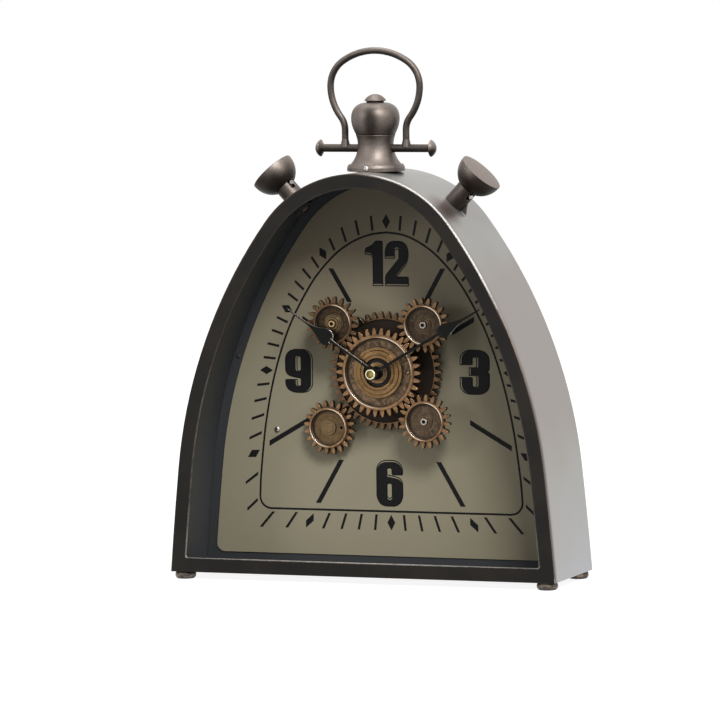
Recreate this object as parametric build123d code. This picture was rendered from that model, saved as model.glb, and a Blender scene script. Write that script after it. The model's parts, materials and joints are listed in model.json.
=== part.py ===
"""Arched table clock in a pocket-watch style, with a turning gear train in front of its dial.

Millimetres, +Z up, the dial faces -Y. The origin is on the table, under the middle of the case.
Each piece is one solid (or one group of like fasteners) in its own file. Depths in front of the
dial are counted forwards, towards -Y, from the dial's printed face.
"""
import os
from math import acos, asin, atan, cos, pi, radians, sin, sqrt, tan

from build123d import *

# Case: an arch of sheet steel in three tangent arcs, near straight at the foot, tightest at the crown
CASE_WIDTH = 270.0
CASE_DEPTH = 78.8
WALL = 1.5
SIDE_LEAN = 4.53
SIDE_RADIUS = 2570.0
SHOULDER_LEAN = 6.1
SHOULDER_RADIUS = 333.5
CROWN_RADIUS = 80.0
FLANGE_WIDTH = 9.8
FLANGE_BASE = 9.6
FLANGE_CORNER = 1.5
FOOT_HEIGHT = 5.0
FOOT_RADIUS = 7.0
FOOT_FLAT_RADIUS = 5.6
FOOT_NECK_RADIUS = 6.0
FOOT_INSET = 7.5

# Dial and the panel that carries it
DIAL_RECESS = 58.7
DIAL_THICKNESS = 0.8
DIAL_MARGIN = 8.6
DIAL_BOTTOM = 7.4
DIAL_CORNER = 5.5
PANEL_THICKNESS = 1.5
PANEL_CLEARANCE = 0.2
AXIS_HEIGHT = 132.3
SHAFT_CLEARANCE = 0.05
HOLE_CLEARANCE = 0.2
DIAL_SCREW_LEFT = 80.3
DIAL_SCREW_DROP = 41.3
DIAL_SCREW_RADIUS = 1.9
DIAL_SCREW_EDGE = 0.7
DIAL_SCREW_HEAD = 1.5
PANEL_SCREW_RISE = 7.7
PANEL_SCREW_RADIUS = 1.5
PANEL_SCREW_EDGE = 0.5
PANEL_SCREW_HEAD = 1.1
BRACKET_HEIGHT = 16.0
BRACKET_LEG = 9.0
BRACKET_CLEARANCE = 5.0

# Back cover on four pillars
COVER_THICKNESS = 1.0
COVER_SETBACK = 1.5
COVER_CLEARANCE = 0.3
PILLAR_RADIUS = 3.5
PILLAR_INSET = 14.0
PILLAR_LOW = 26.0
PILLAR_HIGH = 198.0
COVER_SCREW_RADIUS = 3.0
COVER_SCREW_HEAD = 1.2
WINDOW_MARGIN = 3.0
WINDOW_CORNER = 4.0

# Gears: one module, slim deep teeth as on cast display gears
MODULE = 1.65
PRESSURE_ANGLE = 20.0
TOOTH_THICKNESS = 2.25
DEDENDUM_RATIO = 1.6
BACK_TEETH = 46
CENTRE_TEETH = 34
SMALL_TEETH = 20
CENTRE_SPREAD = 0.8
DRIVE_SPREAD = 1.0
GEAR_THICKNESS = 4.0
RIM_RAISE = 0.8
WEB_DROP = 1.9
BACK_GEAR_DEPTH = 3.2
DRIVE_GEAR_DEPTH = 4.7
DRIVE_LIFT = 1.8
DRIVE_BORE_DEPTH = 3.0
CENTRE_GEAR_DEPTH = 16.4
BACK_RIM_RADIUS = 34.5
BACK_LEDGE = 1.5
CENTRE_RIM_OUTER = 25.0
CENTRE_RIM_INNER = 23.3
CENTRE_DISC_RADIUS = 16.9
CENTRE_STEP_RADIUS = 15.1
CENTRE_HOLE_RADIUS = 9.4
CENTRE_DISC_RAISE = 1.6
CENTRE_STEP_RAISE = 0.7
CENTRE_CHAMFER = 0.5
CENTRE_GROOVE_RADIUS = 12.2
CENTRE_GROOVE_WIDTH = 0.6
CENTRE_GROOVE_DEPTH = 0.5
CLUSTER_HUB_RADIUS = 9.0
CLUSTER_FLANGE_RADIUS = 12.0
CLUSTER_PLAY = 0.3
RIVET_RADIUS = 1.5
RIVET_AT = 20.2
RIVET_HEAD = 0.9
SMALL_RIM_OUTER = 13.5
SMALL_RIM_INNER = 12.2
SMALL_HUB_RADIUS = 5.2
SMALL_HUB_STEP_RADIUS = 3.8
SMALL_HUB_LOW = 3.1
SMALL_HUB_HIGH = 3.8
CONE_HUB_RADIUS = 7.0
CONE_HUB_STEP = 1.5
CONE_HUB_LOW = 2.9
CONE_HUB_RISE = 0.8
DRIVE_HUB_RADIUS = 3.2
DRIVE_HUB_LOW = 3.6
SMALL_BORE = 2.0
WEB_HOLE_RADIUS = 1.0
WEB_HOLE_AT = 8.7
POST_COLLAR_RADIUS = 3.0
POST_HEAD_RADIUS = 2.7
POST_HEAD_HEIGHT = 1.1
POST_END_BORE = 1.1

# Centre stack: fixed bush, hour pipe, minute arbor, hand nut
BUSH_RADIUS = 5.0
BUSH_REACH = 22.6
COLLAR_RADIUS = 7.0
COLLAR_HEIGHT = 1.6
PIPE_RADIUS = 3.2
PIPE_FLANGE_RADIUS = 4.6
PIPE_REACH = 2.0
ARBOR_REACH = 4.0
HOUR_HAND_DEPTH = 24.6
MINUTE_HAND_DEPTH = 31.4
HAND_THICKNESS = 0.8
HAND_SEAT = 1.2
ARBOR_RADIUS = 1.8
ARBOR_SLEEVE_RADIUS = 3.0
MINUTE_HUB_RADIUS = 4.2
NUT_RADIUS = 3.6
NUT_BORE = 2.4
NUT_HEIGHT = 3.8
NUT_CHAMFER = 0.4
BUSH_NUT_RADIUS = 8.0
BUSH_NUT_HEIGHT = 2.0

# Hands: hub, tapering stem, round lobe, concave flare, fine tip. Time shown is ten past ten
HOUR_ANGLE = 304.0
MINUTE_ANGLE = 60.0
HOUR_TIP = 76.0
HOUR_LOBE_AT = 42.3
HOUR_LOBE_RADIUS = 5.3
HOUR_LOBE_LENGTH = 5.5
HOUR_FLARE_END = 57.0
MINUTE_TIP = 88.5
MINUTE_LOBE_AT = 58.0
MINUTE_LOBE_RADIUS = 4.7
MINUTE_LOBE_LENGTH = 6.2
MINUTE_FLARE_END = 72.0
HAND_STEM_HALF = 0.9
HAND_TIP_HALF = 0.5

# Battery movement and geared motor, both behind the panel
MOVEMENT_SIZE = 56.0
MODULE_DEPTH = 15.0
MODULE_CORNER = 3.0
MODULE_GAP = 2.0
MOTOR_WIDTH = 46.0
MOTOR_HEIGHT = 64.0
MOTOR_TOP_RISE = 22.0
MOTOR_EAR_RADIUS = 5.0
MOTOR_EAR_THICKNESS = 2.0
MOTOR_SCREW_RADIUS = 1.3
MOTOR_SCREW_HEAD_RADIUS = 2.6
MOTOR_SCREW_EDGE = 1.0
MOTOR_SCREW_HEAD = 1.7
CELL_RADIUS = 7.0
CELL_LENGTH = 49.0
CELL_NUB_RADIUS = 2.7
CELL_NUB_LENGTH = 1.4
BAY_CLEARANCE = 0.3
BAY_WALL = 2.0
DRIVE_SHAFT_RADIUS = 1.5
KNOB_RADIUS = 7.0
KNOB_HEIGHT = 2.4
KNOB_FLUTES = 18
KNOB_FLUTE_RADIUS = 0.6
KNOB_OFFSET = 11.0
KNOB_STEM_RADIUS = 1.5
KNOB_GAP = 0.3

# Crown: bell-shaped stem, bulb and button, pierced by the bow's bar
STEM_LIP_RADIUS = 19.2
STEM_LIP_HEIGHT = 2.4
STEM_LIP_EDGE = 18.2
STEM_COVE_RADIUS = 17.0
STEM_COVE_HEIGHT = 4.4
STEM_WAIST_RADIUS = 11.8
STEM_WAIST_HEIGHT = 17.2
STEM_TOP_RADIUS = 13.2
STEM_HEIGHT = 24.0
BULB_RADIUS = 16.0
BULB_MIDDLE = 9.0
BULB_TOP_RADIUS = 8.6
BULB_HEIGHT = 21.0
BULB_GROOVE = 0.5
FINIAL_RADIUS = 7.3
FINIAL_NECK = 5.8
FINIAL_NECK_HEIGHT = 0.8
FINIAL_HEIGHT = 5.8
FINIAL_EDGE = 0.8
STUD_RADIUS = 4.0
STUD_NUT_RADIUS = 7.0
STUD_NUT_HEIGHT = 4.0
STUD_END = 1.2
CROWN_SCREW_RADIUS = 2.1
CROWN_SCREW_HEAD = 2.2
CROWN_SCREW_RISE = 2.3
CROWN_SCREW_SEAT = 18.0

# Bow: wire loop on a cross bar with mushroom ends
BAR_RADIUS = 2.65
BAR_HALF_LENGTH = 37.0
BAR_RISE = 15.0
BAR_KNOB_RADIUS = 5.7
BAR_KNOB_LENGTH = 5.4
BOW_WIRE_RADIUS = 2.25
BOW_LEG_AT = 21.5
BOW_HALF_WIDTH = 31.4
BOW_WIDEST_RISE = 41.0
BOW_RISE = 64.5
BOW_LEG_RISE = 12.1
BOW_SIDE_RADIUS = 20.0
BOW_WAIST_RADIUS = 33.0
BOW_FOOT_RADIUS = 3.4
BOW_FOOT_LOW = 0.6
BOW_FOOT_HIGH = 6.0

# Pushers: slotted sleeve on the crown arc, sprung cap held by a cross pin
PUSHER_ANGLE = 43.0
PUSHER_TRAVEL = 2.0
PUSHER_TWIST = 35.0
LUG_REACH = 4.2
LUG_HEIGHT = 6.3
LUG_THICKNESS = 1.2
SLEEVE_RADIUS = 7.0
SLEEVE_BORE = 4.5
SLEEVE_LENGTH = 18.5
SLEEVE_FLOOR = 1.5
SLOT_CLEARANCE = 0.25
CAP_MOUTH = 14.8
CAP_RIM_RADIUS = 15.5
CAP_RIM_HEIGHT = 28.6
CAP_DOME = 1.0
CAP_WALL = 1.4
CAP_BULGE = 1.9
CAP_MOUTH_CLEARANCE = 0.4
PLUNGER_BOTTOM = 8.0
PIN_RADIUS = 1.4
PIN_HEIGHT = 12.7
PIN_PROUD = 1.6
SPRING_WIRE = 0.45
SPRING_RADIUS = 3.4
SPRING_TURNS = 3
SPRING_PLAY = 0.1

# Values worked out from the sizes above
FRONT_Y = -CASE_DEPTH / 2
BACK_Y = CASE_DEPTH / 2
DIAL_Y = FRONT_Y + DIAL_RECESS
PANEL_Y = DIAL_Y + DIAL_THICKNESS
MODULE_Y = PANEL_Y + PANEL_THICKNESS
COVER_BACK_Y = BACK_Y - COVER_SETBACK
COVER_Y = COVER_BACK_Y - COVER_THICKNESS
AXIS_Z = FOOT_HEIGHT + AXIS_HEIGHT
FOOT_TURN = radians(SIDE_LEAN)
SIDE_TURN = radians(SHOULDER_LEAN)
CENTRE_DISTANCE = MODULE * (CENTRE_TEETH + SMALL_TEETH) / 2 + CENTRE_SPREAD
DRIVE_DISTANCE = MODULE * (BACK_TEETH + SMALL_TEETH) / 2 + DRIVE_SPREAD
IDLER_ANGLES = {"upper_left": 135.0, "upper_right": 45.0, "lower_right": 315.0}
DRIVE_ANGLE = 224.0
DRIVE_X = DRIVE_DISTANCE * cos(radians(DRIVE_ANGLE))
DRIVE_Z = AXIS_Z + DRIVE_DISTANCE * sin(radians(DRIVE_ANGLE))
MOTOR_RIGHT = -MOVEMENT_SIZE / 2 - MODULE_GAP
MOTOR_X = MOTOR_RIGHT - MOTOR_WIDTH / 2
MOTOR_Z = DRIVE_Z + MOTOR_TOP_RISE - MOTOR_HEIGHT / 2
BAY_LENGTH = CELL_LENGTH + CELL_NUB_LENGTH + 2 * BAY_CLEARANCE
BAY_WIDTH = 2 * (CELL_RADIUS + BAY_CLEARANCE)
FRONT_FACE = CENTRE_GEAR_DEPTH + GEAR_THICKNESS

# Arch geometry, measured from the underside of the case
SIDE_X = CASE_WIDTH / 2 - SIDE_RADIUS * cos(FOOT_TURN)
SIDE_Z = -SIDE_RADIUS * sin(FOOT_TURN)
SHOULDER_X = SIDE_X + (SIDE_RADIUS - SHOULDER_RADIUS) * cos(SIDE_TURN)
SHOULDER_Z = SIDE_Z + (SIDE_RADIUS - SHOULDER_RADIUS) * sin(SIDE_TURN)
CROWN_Z = SHOULDER_Z + sqrt((SHOULDER_RADIUS - CROWN_RADIUS) ** 2 - SHOULDER_X**2)
CROWN_TURN = acos(-SHOULDER_X / (SHOULDER_RADIUS - CROWN_RADIUS))
APEX_Z = FOOT_HEIGHT + CROWN_Z + CROWN_RADIUS
BAR_Z = APEX_Z + BAR_RISE


def facing_front(x, y, z):
    """Plane whose own Z points forwards (-Y), with X to the right and Y up the clock."""
    return Plane(origin=(x, y, z), x_dir=(1, 0, 0), z_dir=(0, -1, 0))


def on_dial(x=0.0, z=AXIS_Z, depth=0.0):
    """Plane in front of the dial, `depth` forwards of its printed face."""
    return facing_front(x, DIAL_Y - depth, z)


def turned(*edges):
    """Solid of revolution about Z from a closed outline drawn as (radius, height)."""
    return revolve(Plane.XZ * make_face(edges), Axis.Z)


def lathe(*points):
    """Solid of revolution about Z from straight-sided (radius, height) corners."""
    return turned(Polyline(*points, close=True))


def dome(radius, edge, top):
    """Outline of a ball-shaped cap, from (radius, edge) in to the axis at height `top`."""
    drop = top - edge
    ball = (radius**2 + drop**2) / (2 * drop)
    half = asin(radius / ball) / 2
    return ThreePointArc((radius, edge), (ball * sin(half), top - ball + ball * cos(half)), (0, top))


def ring(outer, inner, height):
    return extrude(Circle(outer) - Circle(inner), height)


def rod(radius, height):
    return extrude(Circle(radius), height)


# Arch outlines


def arch_half_width(height, inset=0.0):
    """Half width of the arch at a height above the case's underside."""
    if height <= SHOULDER_Z + (SHOULDER_RADIUS - inset) * sin(SIDE_TURN):
        return SIDE_X + sqrt((SIDE_RADIUS - inset) ** 2 - (height - SIDE_Z) ** 2)
    if height <= CROWN_Z + (CROWN_RADIUS - inset) * sin(CROWN_TURN):
        return SHOULDER_X + sqrt((SHOULDER_RADIUS - inset) ** 2 - (height - SHOULDER_Z) ** 2)
    return sqrt((CROWN_RADIUS - inset) ** 2 - (height - CROWN_Z) ** 2)


def arch(inset=0.0, foot=0.0, corner=0.0):
    """Arch face, set in from the case's outline, with its straight foot at a given height."""
    shoulder = SHOULDER_RADIUS - inset
    crown = CROWN_RADIUS - inset
    middle = (SIDE_TURN + CROWN_TURN) / 2
    foot_x = arch_half_width(foot, inset)
    side = (SHOULDER_X + shoulder * cos(SIDE_TURN), SHOULDER_Z + shoulder * sin(SIDE_TURN))
    flank = (arch_half_width((foot + side[1]) / 2, inset), (foot + side[1]) / 2)
    bend = (SHOULDER_X + shoulder * cos(middle), SHOULDER_Z + shoulder * sin(middle))
    join = (crown * cos(CROWN_TURN), CROWN_Z + crown * sin(CROWN_TURN))
    right = [
        ThreePointArc((foot_x, foot), flank, side),
        ThreePointArc(side, bend, join),
    ]
    left = [edge.mirror(Plane.YZ) for edge in right]
    top = ThreePointArc(join, (0, CROWN_Z + crown), (-join[0], join[1]))
    base = Line((-foot_x, foot), (foot_x, foot))
    face = make_face([*right, top, *left, base])
    if corner:
        feet = [v for v in face.vertices() if abs(v.Y - foot) < WALL / 2]
        face = fillet(feet, corner)
    return face


def arch_plate(back_y, thickness, sketch):
    """Sheet with the given outline, its back at back_y, standing on the case's underside level."""
    return facing_front(0, back_y, FOOT_HEIGHT) * extrude(sketch, thickness)


def arch_frame_at(side):
    """Place on the crown arc where a pusher stands: Z along the outward normal, X along its pin."""
    turn = radians(PUSHER_ANGLE)
    outward = (side * sin(turn), 0, cos(turn))
    along = (cos(turn), 0, -side * sin(turn))
    foot_at = (CROWN_RADIUS * outward[0], 0, FOOT_HEIGHT + CROWN_Z + CROWN_RADIUS * outward[2])
    return Plane(origin=foot_at, x_dir=along, z_dir=outward).location * Rot(0, 0, -PUSHER_TWIST)


def nut_seat(radius):
    """How far below the outer skin a flat nut clears the hollow inside of the crown arc."""
    inner = CROWN_RADIUS - WALL
    return WALL + inner - sqrt(inner**2 - radius**2)


# Case pieces


def case_band():
    shell = arch() - arch(inset=WALL, foot=-WALL)
    band = arch_plate(BACK_Y, CASE_DEPTH - WALL, shell)
    for side in (-1, 1):
        drill = rod(STUD_RADIUS + HOLE_CLEARANCE, 4 * WALL)
        band -= arch_frame_at(side) * Pos(0, 0, -2 * WALL) * drill
    return band - Pos(0, 0, APEX_Z - 2 * WALL) * rod(STUD_RADIUS + HOLE_CLEARANCE, 4 * WALL)


def front_frame():
    opening = arch(FLANGE_WIDTH, FLANGE_BASE, FLANGE_CORNER)
    return arch_plate(FRONT_Y + WALL, WALL, arch() - opening)


def base_plate():
    half = arch_half_width(0, WALL)
    top = arch_half_width(WALL, WALL)
    outline = Polyline((-half, 0), (half, 0), (top, WALL), (-top, WALL), close=True)
    return arch_plate(BACK_Y, CASE_DEPTH - WALL, make_face(outline))


def foot(x, y):
    """Turned bun foot with a flat sole and a narrower neck under the base."""
    side = ThreePointArc(
        (FOOT_FLAT_RADIUS, 0),
        (FOOT_RADIUS, FOOT_HEIGHT * 0.45),
        (FOOT_NECK_RADIUS, FOOT_HEIGHT),
    )
    rest = Polyline((FOOT_NECK_RADIUS, FOOT_HEIGHT), (0, FOOT_HEIGHT), (0, 0), (FOOT_FLAT_RADIUS, 0))
    return Pos(x, y, 0) * turned(side, rest)


# Panel, dial and back cover


def panel_screw_places():
    rise = AXIS_HEIGHT + PANEL_SCREW_RISE
    edge = (arch_half_width(rise, WALL) + arch_half_width(rise, DIAL_MARGIN)) / 2
    return [(side * edge, FOOT_HEIGHT + rise) for side in (-1, 1)]


def idler_places():
    return {
        name: (CENTRE_DISTANCE * cos(radians(turn)), AXIS_Z + CENTRE_DISTANCE * sin(radians(turn)))
        for name, turn in IDLER_ANGLES.items()
    }


def pierced(plate, radii_at):
    """Plate lying in the dial's plane with round holes at (x, z, radius)."""
    for x, z, radius in radii_at:
        plate -= on_dial(x, z, -CASE_DEPTH / 2) * rod(radius, CASE_DEPTH)
    return plate


def dial_holes():
    holes = [(0, AXIS_Z, BUSH_RADIUS + HOLE_CLEARANCE)]
    holes += [(DRIVE_X, DRIVE_Z, DRIVE_SHAFT_RADIUS + HOLE_CLEARANCE)]
    holes += [(x, z, SMALL_BORE + HOLE_CLEARANCE) for x, z in idler_places().values()]
    return holes


def dial_plate():
    sheet = arch_plate(PANEL_Y, DIAL_THICKNESS, arch(DIAL_MARGIN, DIAL_BOTTOM, DIAL_CORNER))
    return pierced(sheet, dial_holes())


def dial_backing():
    inset = WALL + PANEL_CLEARANCE
    sheet = arch_plate(MODULE_Y, PANEL_THICKNESS, arch(inset, inset))
    screws = [(x, z, PANEL_SCREW_RADIUS * 0.6) for x, z in panel_screw_places()]
    screws += [(MOTOR_X - x, MOTOR_Z + z, MOTOR_SCREW_RADIUS) for x, z in motor_ears()]
    return pierced(sheet, dial_holes() + screws)


def dial_screw():
    head = turned(
        Polyline((0, DIAL_SCREW_HEAD), (0, 0), (DIAL_SCREW_RADIUS, 0), (DIAL_SCREW_RADIUS, DIAL_SCREW_EDGE)),
        dome(DIAL_SCREW_RADIUS, DIAL_SCREW_EDGE, DIAL_SCREW_HEAD),
    )
    return on_dial(-DIAL_SCREW_LEFT, AXIS_Z - DIAL_SCREW_DROP) * head


def panel_screws():
    """Round-headed screws in the panel's margin, into the brackets behind it."""
    shank = PANEL_SCREW_RADIUS * 0.6
    reach = PANEL_THICKNESS + WALL
    outline = Polyline(
        (0, PANEL_SCREW_HEAD),
        (0, -reach),
        (shank, -reach),
        (shank, 0),
        (PANEL_SCREW_RADIUS, 0),
        (PANEL_SCREW_RADIUS, PANEL_SCREW_EDGE),
    )
    screw = turned(outline, dome(PANEL_SCREW_RADIUS, PANEL_SCREW_EDGE, PANEL_SCREW_HEAD))
    return [facing_front(x, PANEL_Y, z) * screw for x, z in panel_screw_places()]


def panel_brackets():
    """Angle brackets welded inside the band, behind the panel's edge."""
    brackets = []
    bracket_back = COVER_Y - BRACKET_CLEARANCE
    for x, z in panel_screw_places():
        side = 1 if x > 0 else -1
        low = z - FOOT_HEIGHT - BRACKET_HEIGHT / 2
        wall_x = [side * (arch_half_width(low + rise, WALL)) for rise in (0, BRACKET_HEIGHT)]
        flange = Polyline(
            (wall_x[0], low),
            (wall_x[1], low + BRACKET_HEIGHT),
            (wall_x[1] - side * BRACKET_LEG, low + BRACKET_HEIGHT),
            (wall_x[0] - side * BRACKET_LEG, low),
            close=True,
        )
        web = Polyline(
            (wall_x[0], low),
            (wall_x[1], low + BRACKET_HEIGHT),
            (wall_x[1] - side * WALL, low + BRACKET_HEIGHT),
            (wall_x[0] - side * WALL, low),
            close=True,
        )
        bracket = arch_plate(MODULE_Y + WALL, WALL, make_face(flange))
        bracket += arch_plate(bracket_back, bracket_back - MODULE_Y, make_face(web))
        bracket -= facing_front(x, COVER_Y, z) * rod(PANEL_SCREW_RADIUS * 0.6, CASE_DEPTH)
        brackets.append(bracket)
    return brackets


def pillar_places():
    return [
        (side * (arch_half_width(level) - PILLAR_INSET), FOOT_HEIGHT + level)
        for level in (PILLAR_LOW, PILLAR_HIGH)
        for side in (-1, 1)
    ]


def back_pillars():
    length = COVER_Y - MODULE_Y
    pillar = ring(PILLAR_RADIUS, COVER_SCREW_RADIUS * 0.5, length)
    return [facing_front(x, COVER_Y, z) * pillar for x, z in pillar_places()]


def cover_windows():
    """Openings round the movement and the motor, for the cells and the setting knob."""
    grow = 2 * WINDOW_MARGIN
    movement = RectangleRounded(MOVEMENT_SIZE + grow, MOVEMENT_SIZE + grow, WINDOW_CORNER)
    motor = RectangleRounded(MOTOR_WIDTH + grow, MOTOR_HEIGHT + grow, WINDOW_CORNER)
    return Pos(0, AXIS_HEIGHT) * movement + Pos(MOTOR_X, MOTOR_Z - FOOT_HEIGHT) * motor


def back_cover():
    inset = WALL + COVER_CLEARANCE
    sheet = arch_plate(COVER_BACK_Y, COVER_THICKNESS, arch(inset, inset) - cover_windows())
    return pierced(sheet, [(x, z, COVER_SCREW_RADIUS * 0.5) for x, z in pillar_places()])


def back_cover_screws():
    """Pan-head screws through the cover into the pillars; heads stay inside the case's depth."""
    shank = COVER_SCREW_RADIUS * 0.5
    reach = COVER_THICKNESS + PILLAR_RADIUS * 2
    screw = lathe(
        (0, -reach),
        (shank, -reach),
        (shank, 0),
        (COVER_SCREW_RADIUS, 0),
        (COVER_SCREW_RADIUS, COVER_SCREW_HEAD * 0.5),
        (COVER_SCREW_RADIUS * 0.7, COVER_SCREW_HEAD),
        (0, COVER_SCREW_HEAD),
    )
    backwards = Plane(origin=(0, 0, 0), x_dir=(1, 0, 0), z_dir=(0, 1, 0))
    return [Pos(x, COVER_BACK_Y, z) * (backwards * screw) for x, z in pillar_places()]


# Crown and bow


def crown_stem():
    """Bell-shaped stem with a stud through the case top and a cross bore for the bow's bar."""
    below = STUD_NUT_HEIGHT + nut_seat(STUD_NUT_RADIUS) + STUD_END
    cove = (STEM_COVE_RADIUS, STEM_COVE_HEIGHT)
    waist = (STEM_WAIST_RADIUS, STEM_WAIST_HEIGHT)
    top = (STEM_TOP_RADIUS, STEM_HEIGHT)
    outline = [
        Polyline(
            (0, -below),
            (STUD_RADIUS, -below),
            (STUD_RADIUS, 0),
            (STEM_LIP_RADIUS, 0),
            (STEM_LIP_RADIUS, STEM_LIP_HEIGHT),
            (STEM_LIP_EDGE, STEM_COVE_HEIGHT),
            cove,
        ),
        RadiusArc(cove, waist, STEM_LIP_RADIUS),
        RadiusArc(waist, top, STEM_LIP_RADIUS),
        Polyline(top, (0, STEM_HEIGHT), (0, -below)),
    ]
    stem = Pos(0, 0, APEX_Z) * turned(*outline)
    bore = extrude(Plane.YZ * Circle(BAR_RADIUS + SHAFT_CLEARANCE), STEM_LIP_RADIUS, both=True)
    stem -= Pos(0, 0, BAR_Z) * bore
    return stem - crown_screw_plane() * (rod(CROWN_SCREW_RADIUS, STEM_LIP_RADIUS) + crown_screw_shank())


def crown_bulb():
    foot_radius = STEM_TOP_RADIUS - BULB_GROOVE
    outline = [
        Line((0, 0), (foot_radius, 0)),
        Line((foot_radius, 0), (STEM_TOP_RADIUS, BULB_GROOVE)),
        Spline(
            (STEM_TOP_RADIUS, BULB_GROOVE),
            (BULB_RADIUS, BULB_MIDDLE),
            (BULB_TOP_RADIUS, BULB_HEIGHT),
            tangents=[(0.5, 1), (-1, 0.25)],
        ),
        Polyline((BULB_TOP_RADIUS, BULB_HEIGHT), (0, BULB_HEIGHT), (0, 0)),
    ]
    return Pos(0, 0, APEX_Z + STEM_HEIGHT) * turned(*outline)


def crown_finial():
    shoulder = FINIAL_NECK_HEIGHT
    outline = [
        Polyline((0, 0), (FINIAL_NECK, 0), (FINIAL_NECK, shoulder), (FINIAL_RADIUS, shoulder + FINIAL_EDGE)),
        dome(FINIAL_RADIUS, shoulder + FINIAL_EDGE, FINIAL_HEIGHT),
        Line((0, FINIAL_HEIGHT), (0, 0)),
    ]
    return Pos(0, 0, APEX_Z + STEM_HEIGHT + BULB_HEIGHT) * turned(*outline)


def crown_screw_plane():
    return facing_front(0, -CROWN_SCREW_SEAT, APEX_Z + CROWN_SCREW_RISE)


def crown_screw_shank():
    return Pos(0, 0, -2 * CROWN_SCREW_HEAD) * rod(CROWN_SCREW_RADIUS / 2, 2 * CROWN_SCREW_HEAD)


def crown_screw():
    """Round-headed screw in a spot face on the lip's front."""
    edge = CROWN_SCREW_HEAD * 0.3
    head = turned(
        Polyline((0, CROWN_SCREW_HEAD), (0, 0), (CROWN_SCREW_RADIUS, 0), (CROWN_SCREW_RADIUS, edge)),
        dome(CROWN_SCREW_RADIUS, edge, CROWN_SCREW_HEAD),
    )
    return crown_screw_plane() * (head + crown_screw_shank())


def stud_nut():
    return extrude(RegularPolygon(STUD_NUT_RADIUS, 6) - Circle(STUD_RADIUS), STUD_NUT_HEIGHT)


def crown_nut():
    return Pos(0, 0, APEX_Z - nut_seat(STUD_NUT_RADIUS) - STUD_NUT_HEIGHT) * stud_nut()


def bow_bar():
    return Pos(0, 0, BAR_Z) * extrude(Plane.YZ * Circle(BAR_RADIUS), BAR_HALF_LENGTH, both=True)


def bow_knobs():
    """Mushroom ends butted on the bar."""
    knob = turned(
        Polyline((0, 0), (BAR_RADIUS, 0), (BAR_KNOB_RADIUS, BAR_KNOB_LENGTH * 0.35)),
        dome(BAR_KNOB_RADIUS, BAR_KNOB_LENGTH * 0.35, BAR_KNOB_LENGTH),
        Line((0, BAR_KNOB_LENGTH), (0, 0)),
    )
    return [
        Plane(origin=(side * BAR_HALF_LENGTH, 0, BAR_Z), x_dir=(0, 1, 0), z_dir=(side, 0, 0)) * knob
        for side in (-1, 1)
    ]


def bow_path():
    """Right half of the loop's centre line, from the bar up to the top, as tangent arcs."""
    drop = BOW_WIDEST_RISE - BOW_LEG_RISE
    swing = BOW_HALF_WIDTH - BOW_LEG_AT
    gather = 2 * atan(swing / drop)
    reach = drop / sin(gather)
    neck = reach - BOW_WAIST_RADIUS
    leg_end = (BOW_LEG_AT, BOW_LEG_RISE)
    widest = (BOW_HALF_WIDTH, BOW_WIDEST_RISE)
    turn = (BOW_LEG_AT + neck * (1 - cos(gather)), BOW_LEG_RISE + neck * sin(gather))
    rise = BOW_RISE - BOW_WIDEST_RISE
    inset = BOW_HALF_WIDTH - BOW_SIDE_RADIUS
    top_radius = (inset**2 + rise**2 - BOW_SIDE_RADIUS**2) / (2 * (rise - BOW_SIDE_RADIUS))
    lean = acos(inset / (top_radius - BOW_SIDE_RADIUS))
    side_end = (inset + BOW_SIDE_RADIUS * cos(lean), BOW_WIDEST_RISE + BOW_SIDE_RADIUS * sin(lean))
    return [
        Line((BOW_LEG_AT, 0), leg_end),
        TangentArc(leg_end, turn, tangent=(0, 1)),
        TangentArc(widest, turn, tangent=(0, -1)),
        TangentArc(widest, side_end, tangent=(0, 1)),
        TangentArc((0, BOW_RISE), side_end, tangent=(1, 0)),
    ]


def bow_loop():
    """Bent wire loop whose legs flare into brazed feet saddled on the bar."""
    half = [Plane.XZ * edge for edge in bow_path()]
    other = [edge.mirror(Plane.YZ) for edge in half]
    path = Wire([*half, *other])
    start = Plane(origin=(BOW_LEG_AT, 0, 0), z_dir=(0, 0, 1))
    loop = sweep(start * Circle(BOW_WIRE_RADIUS), path=path)
    flare = lathe(
        (0, BOW_FOOT_LOW),
        (BOW_FOOT_RADIUS, BOW_FOOT_LOW),
        (BOW_WIRE_RADIUS, BOW_FOOT_HIGH),
        (0, BOW_FOOT_HIGH),
    )
    for side in (-1, 1):
        loop += Pos(side * BOW_LEG_AT, 0, 0) * flare
    loop -= extrude(Plane.YZ * Circle(BAR_RADIUS), BAR_HALF_LENGTH, both=True)
    return Pos(0, 0, BAR_Z) * loop


# Pushers


def pusher_sleeve(side):
    """Tube with a threaded spigot through the band and two slots for the cross pin."""
    below = nut_seat(STUD_NUT_RADIUS) + STUD_NUT_HEIGHT + STUD_END
    sleeve = lathe(
        (0, -below),
        (STUD_RADIUS, -below),
        (STUD_RADIUS, 0),
        (SLEEVE_RADIUS, 0),
        (SLEEVE_RADIUS, SLEEVE_LENGTH),
        (SLEEVE_BORE, SLEEVE_LENGTH),
        (SLEEVE_BORE, SLEEVE_FLOOR),
        (0, SLEEVE_FLOOR),
    )
    slot_half = PIN_RADIUS + SLOT_CLEARANCE
    slot_low = PIN_HEIGHT - PUSHER_TRAVEL - slot_half
    slot_length = SLEEVE_LENGTH - slot_low
    sleeve -= Pos(0, 0, slot_low + slot_length / 2) * Box(4 * SLEEVE_RADIUS, 2 * slot_half, slot_length)
    if side > 0:
        sleeve += sleeve_lug()
    return arch_frame_at(side) * sleeve


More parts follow.
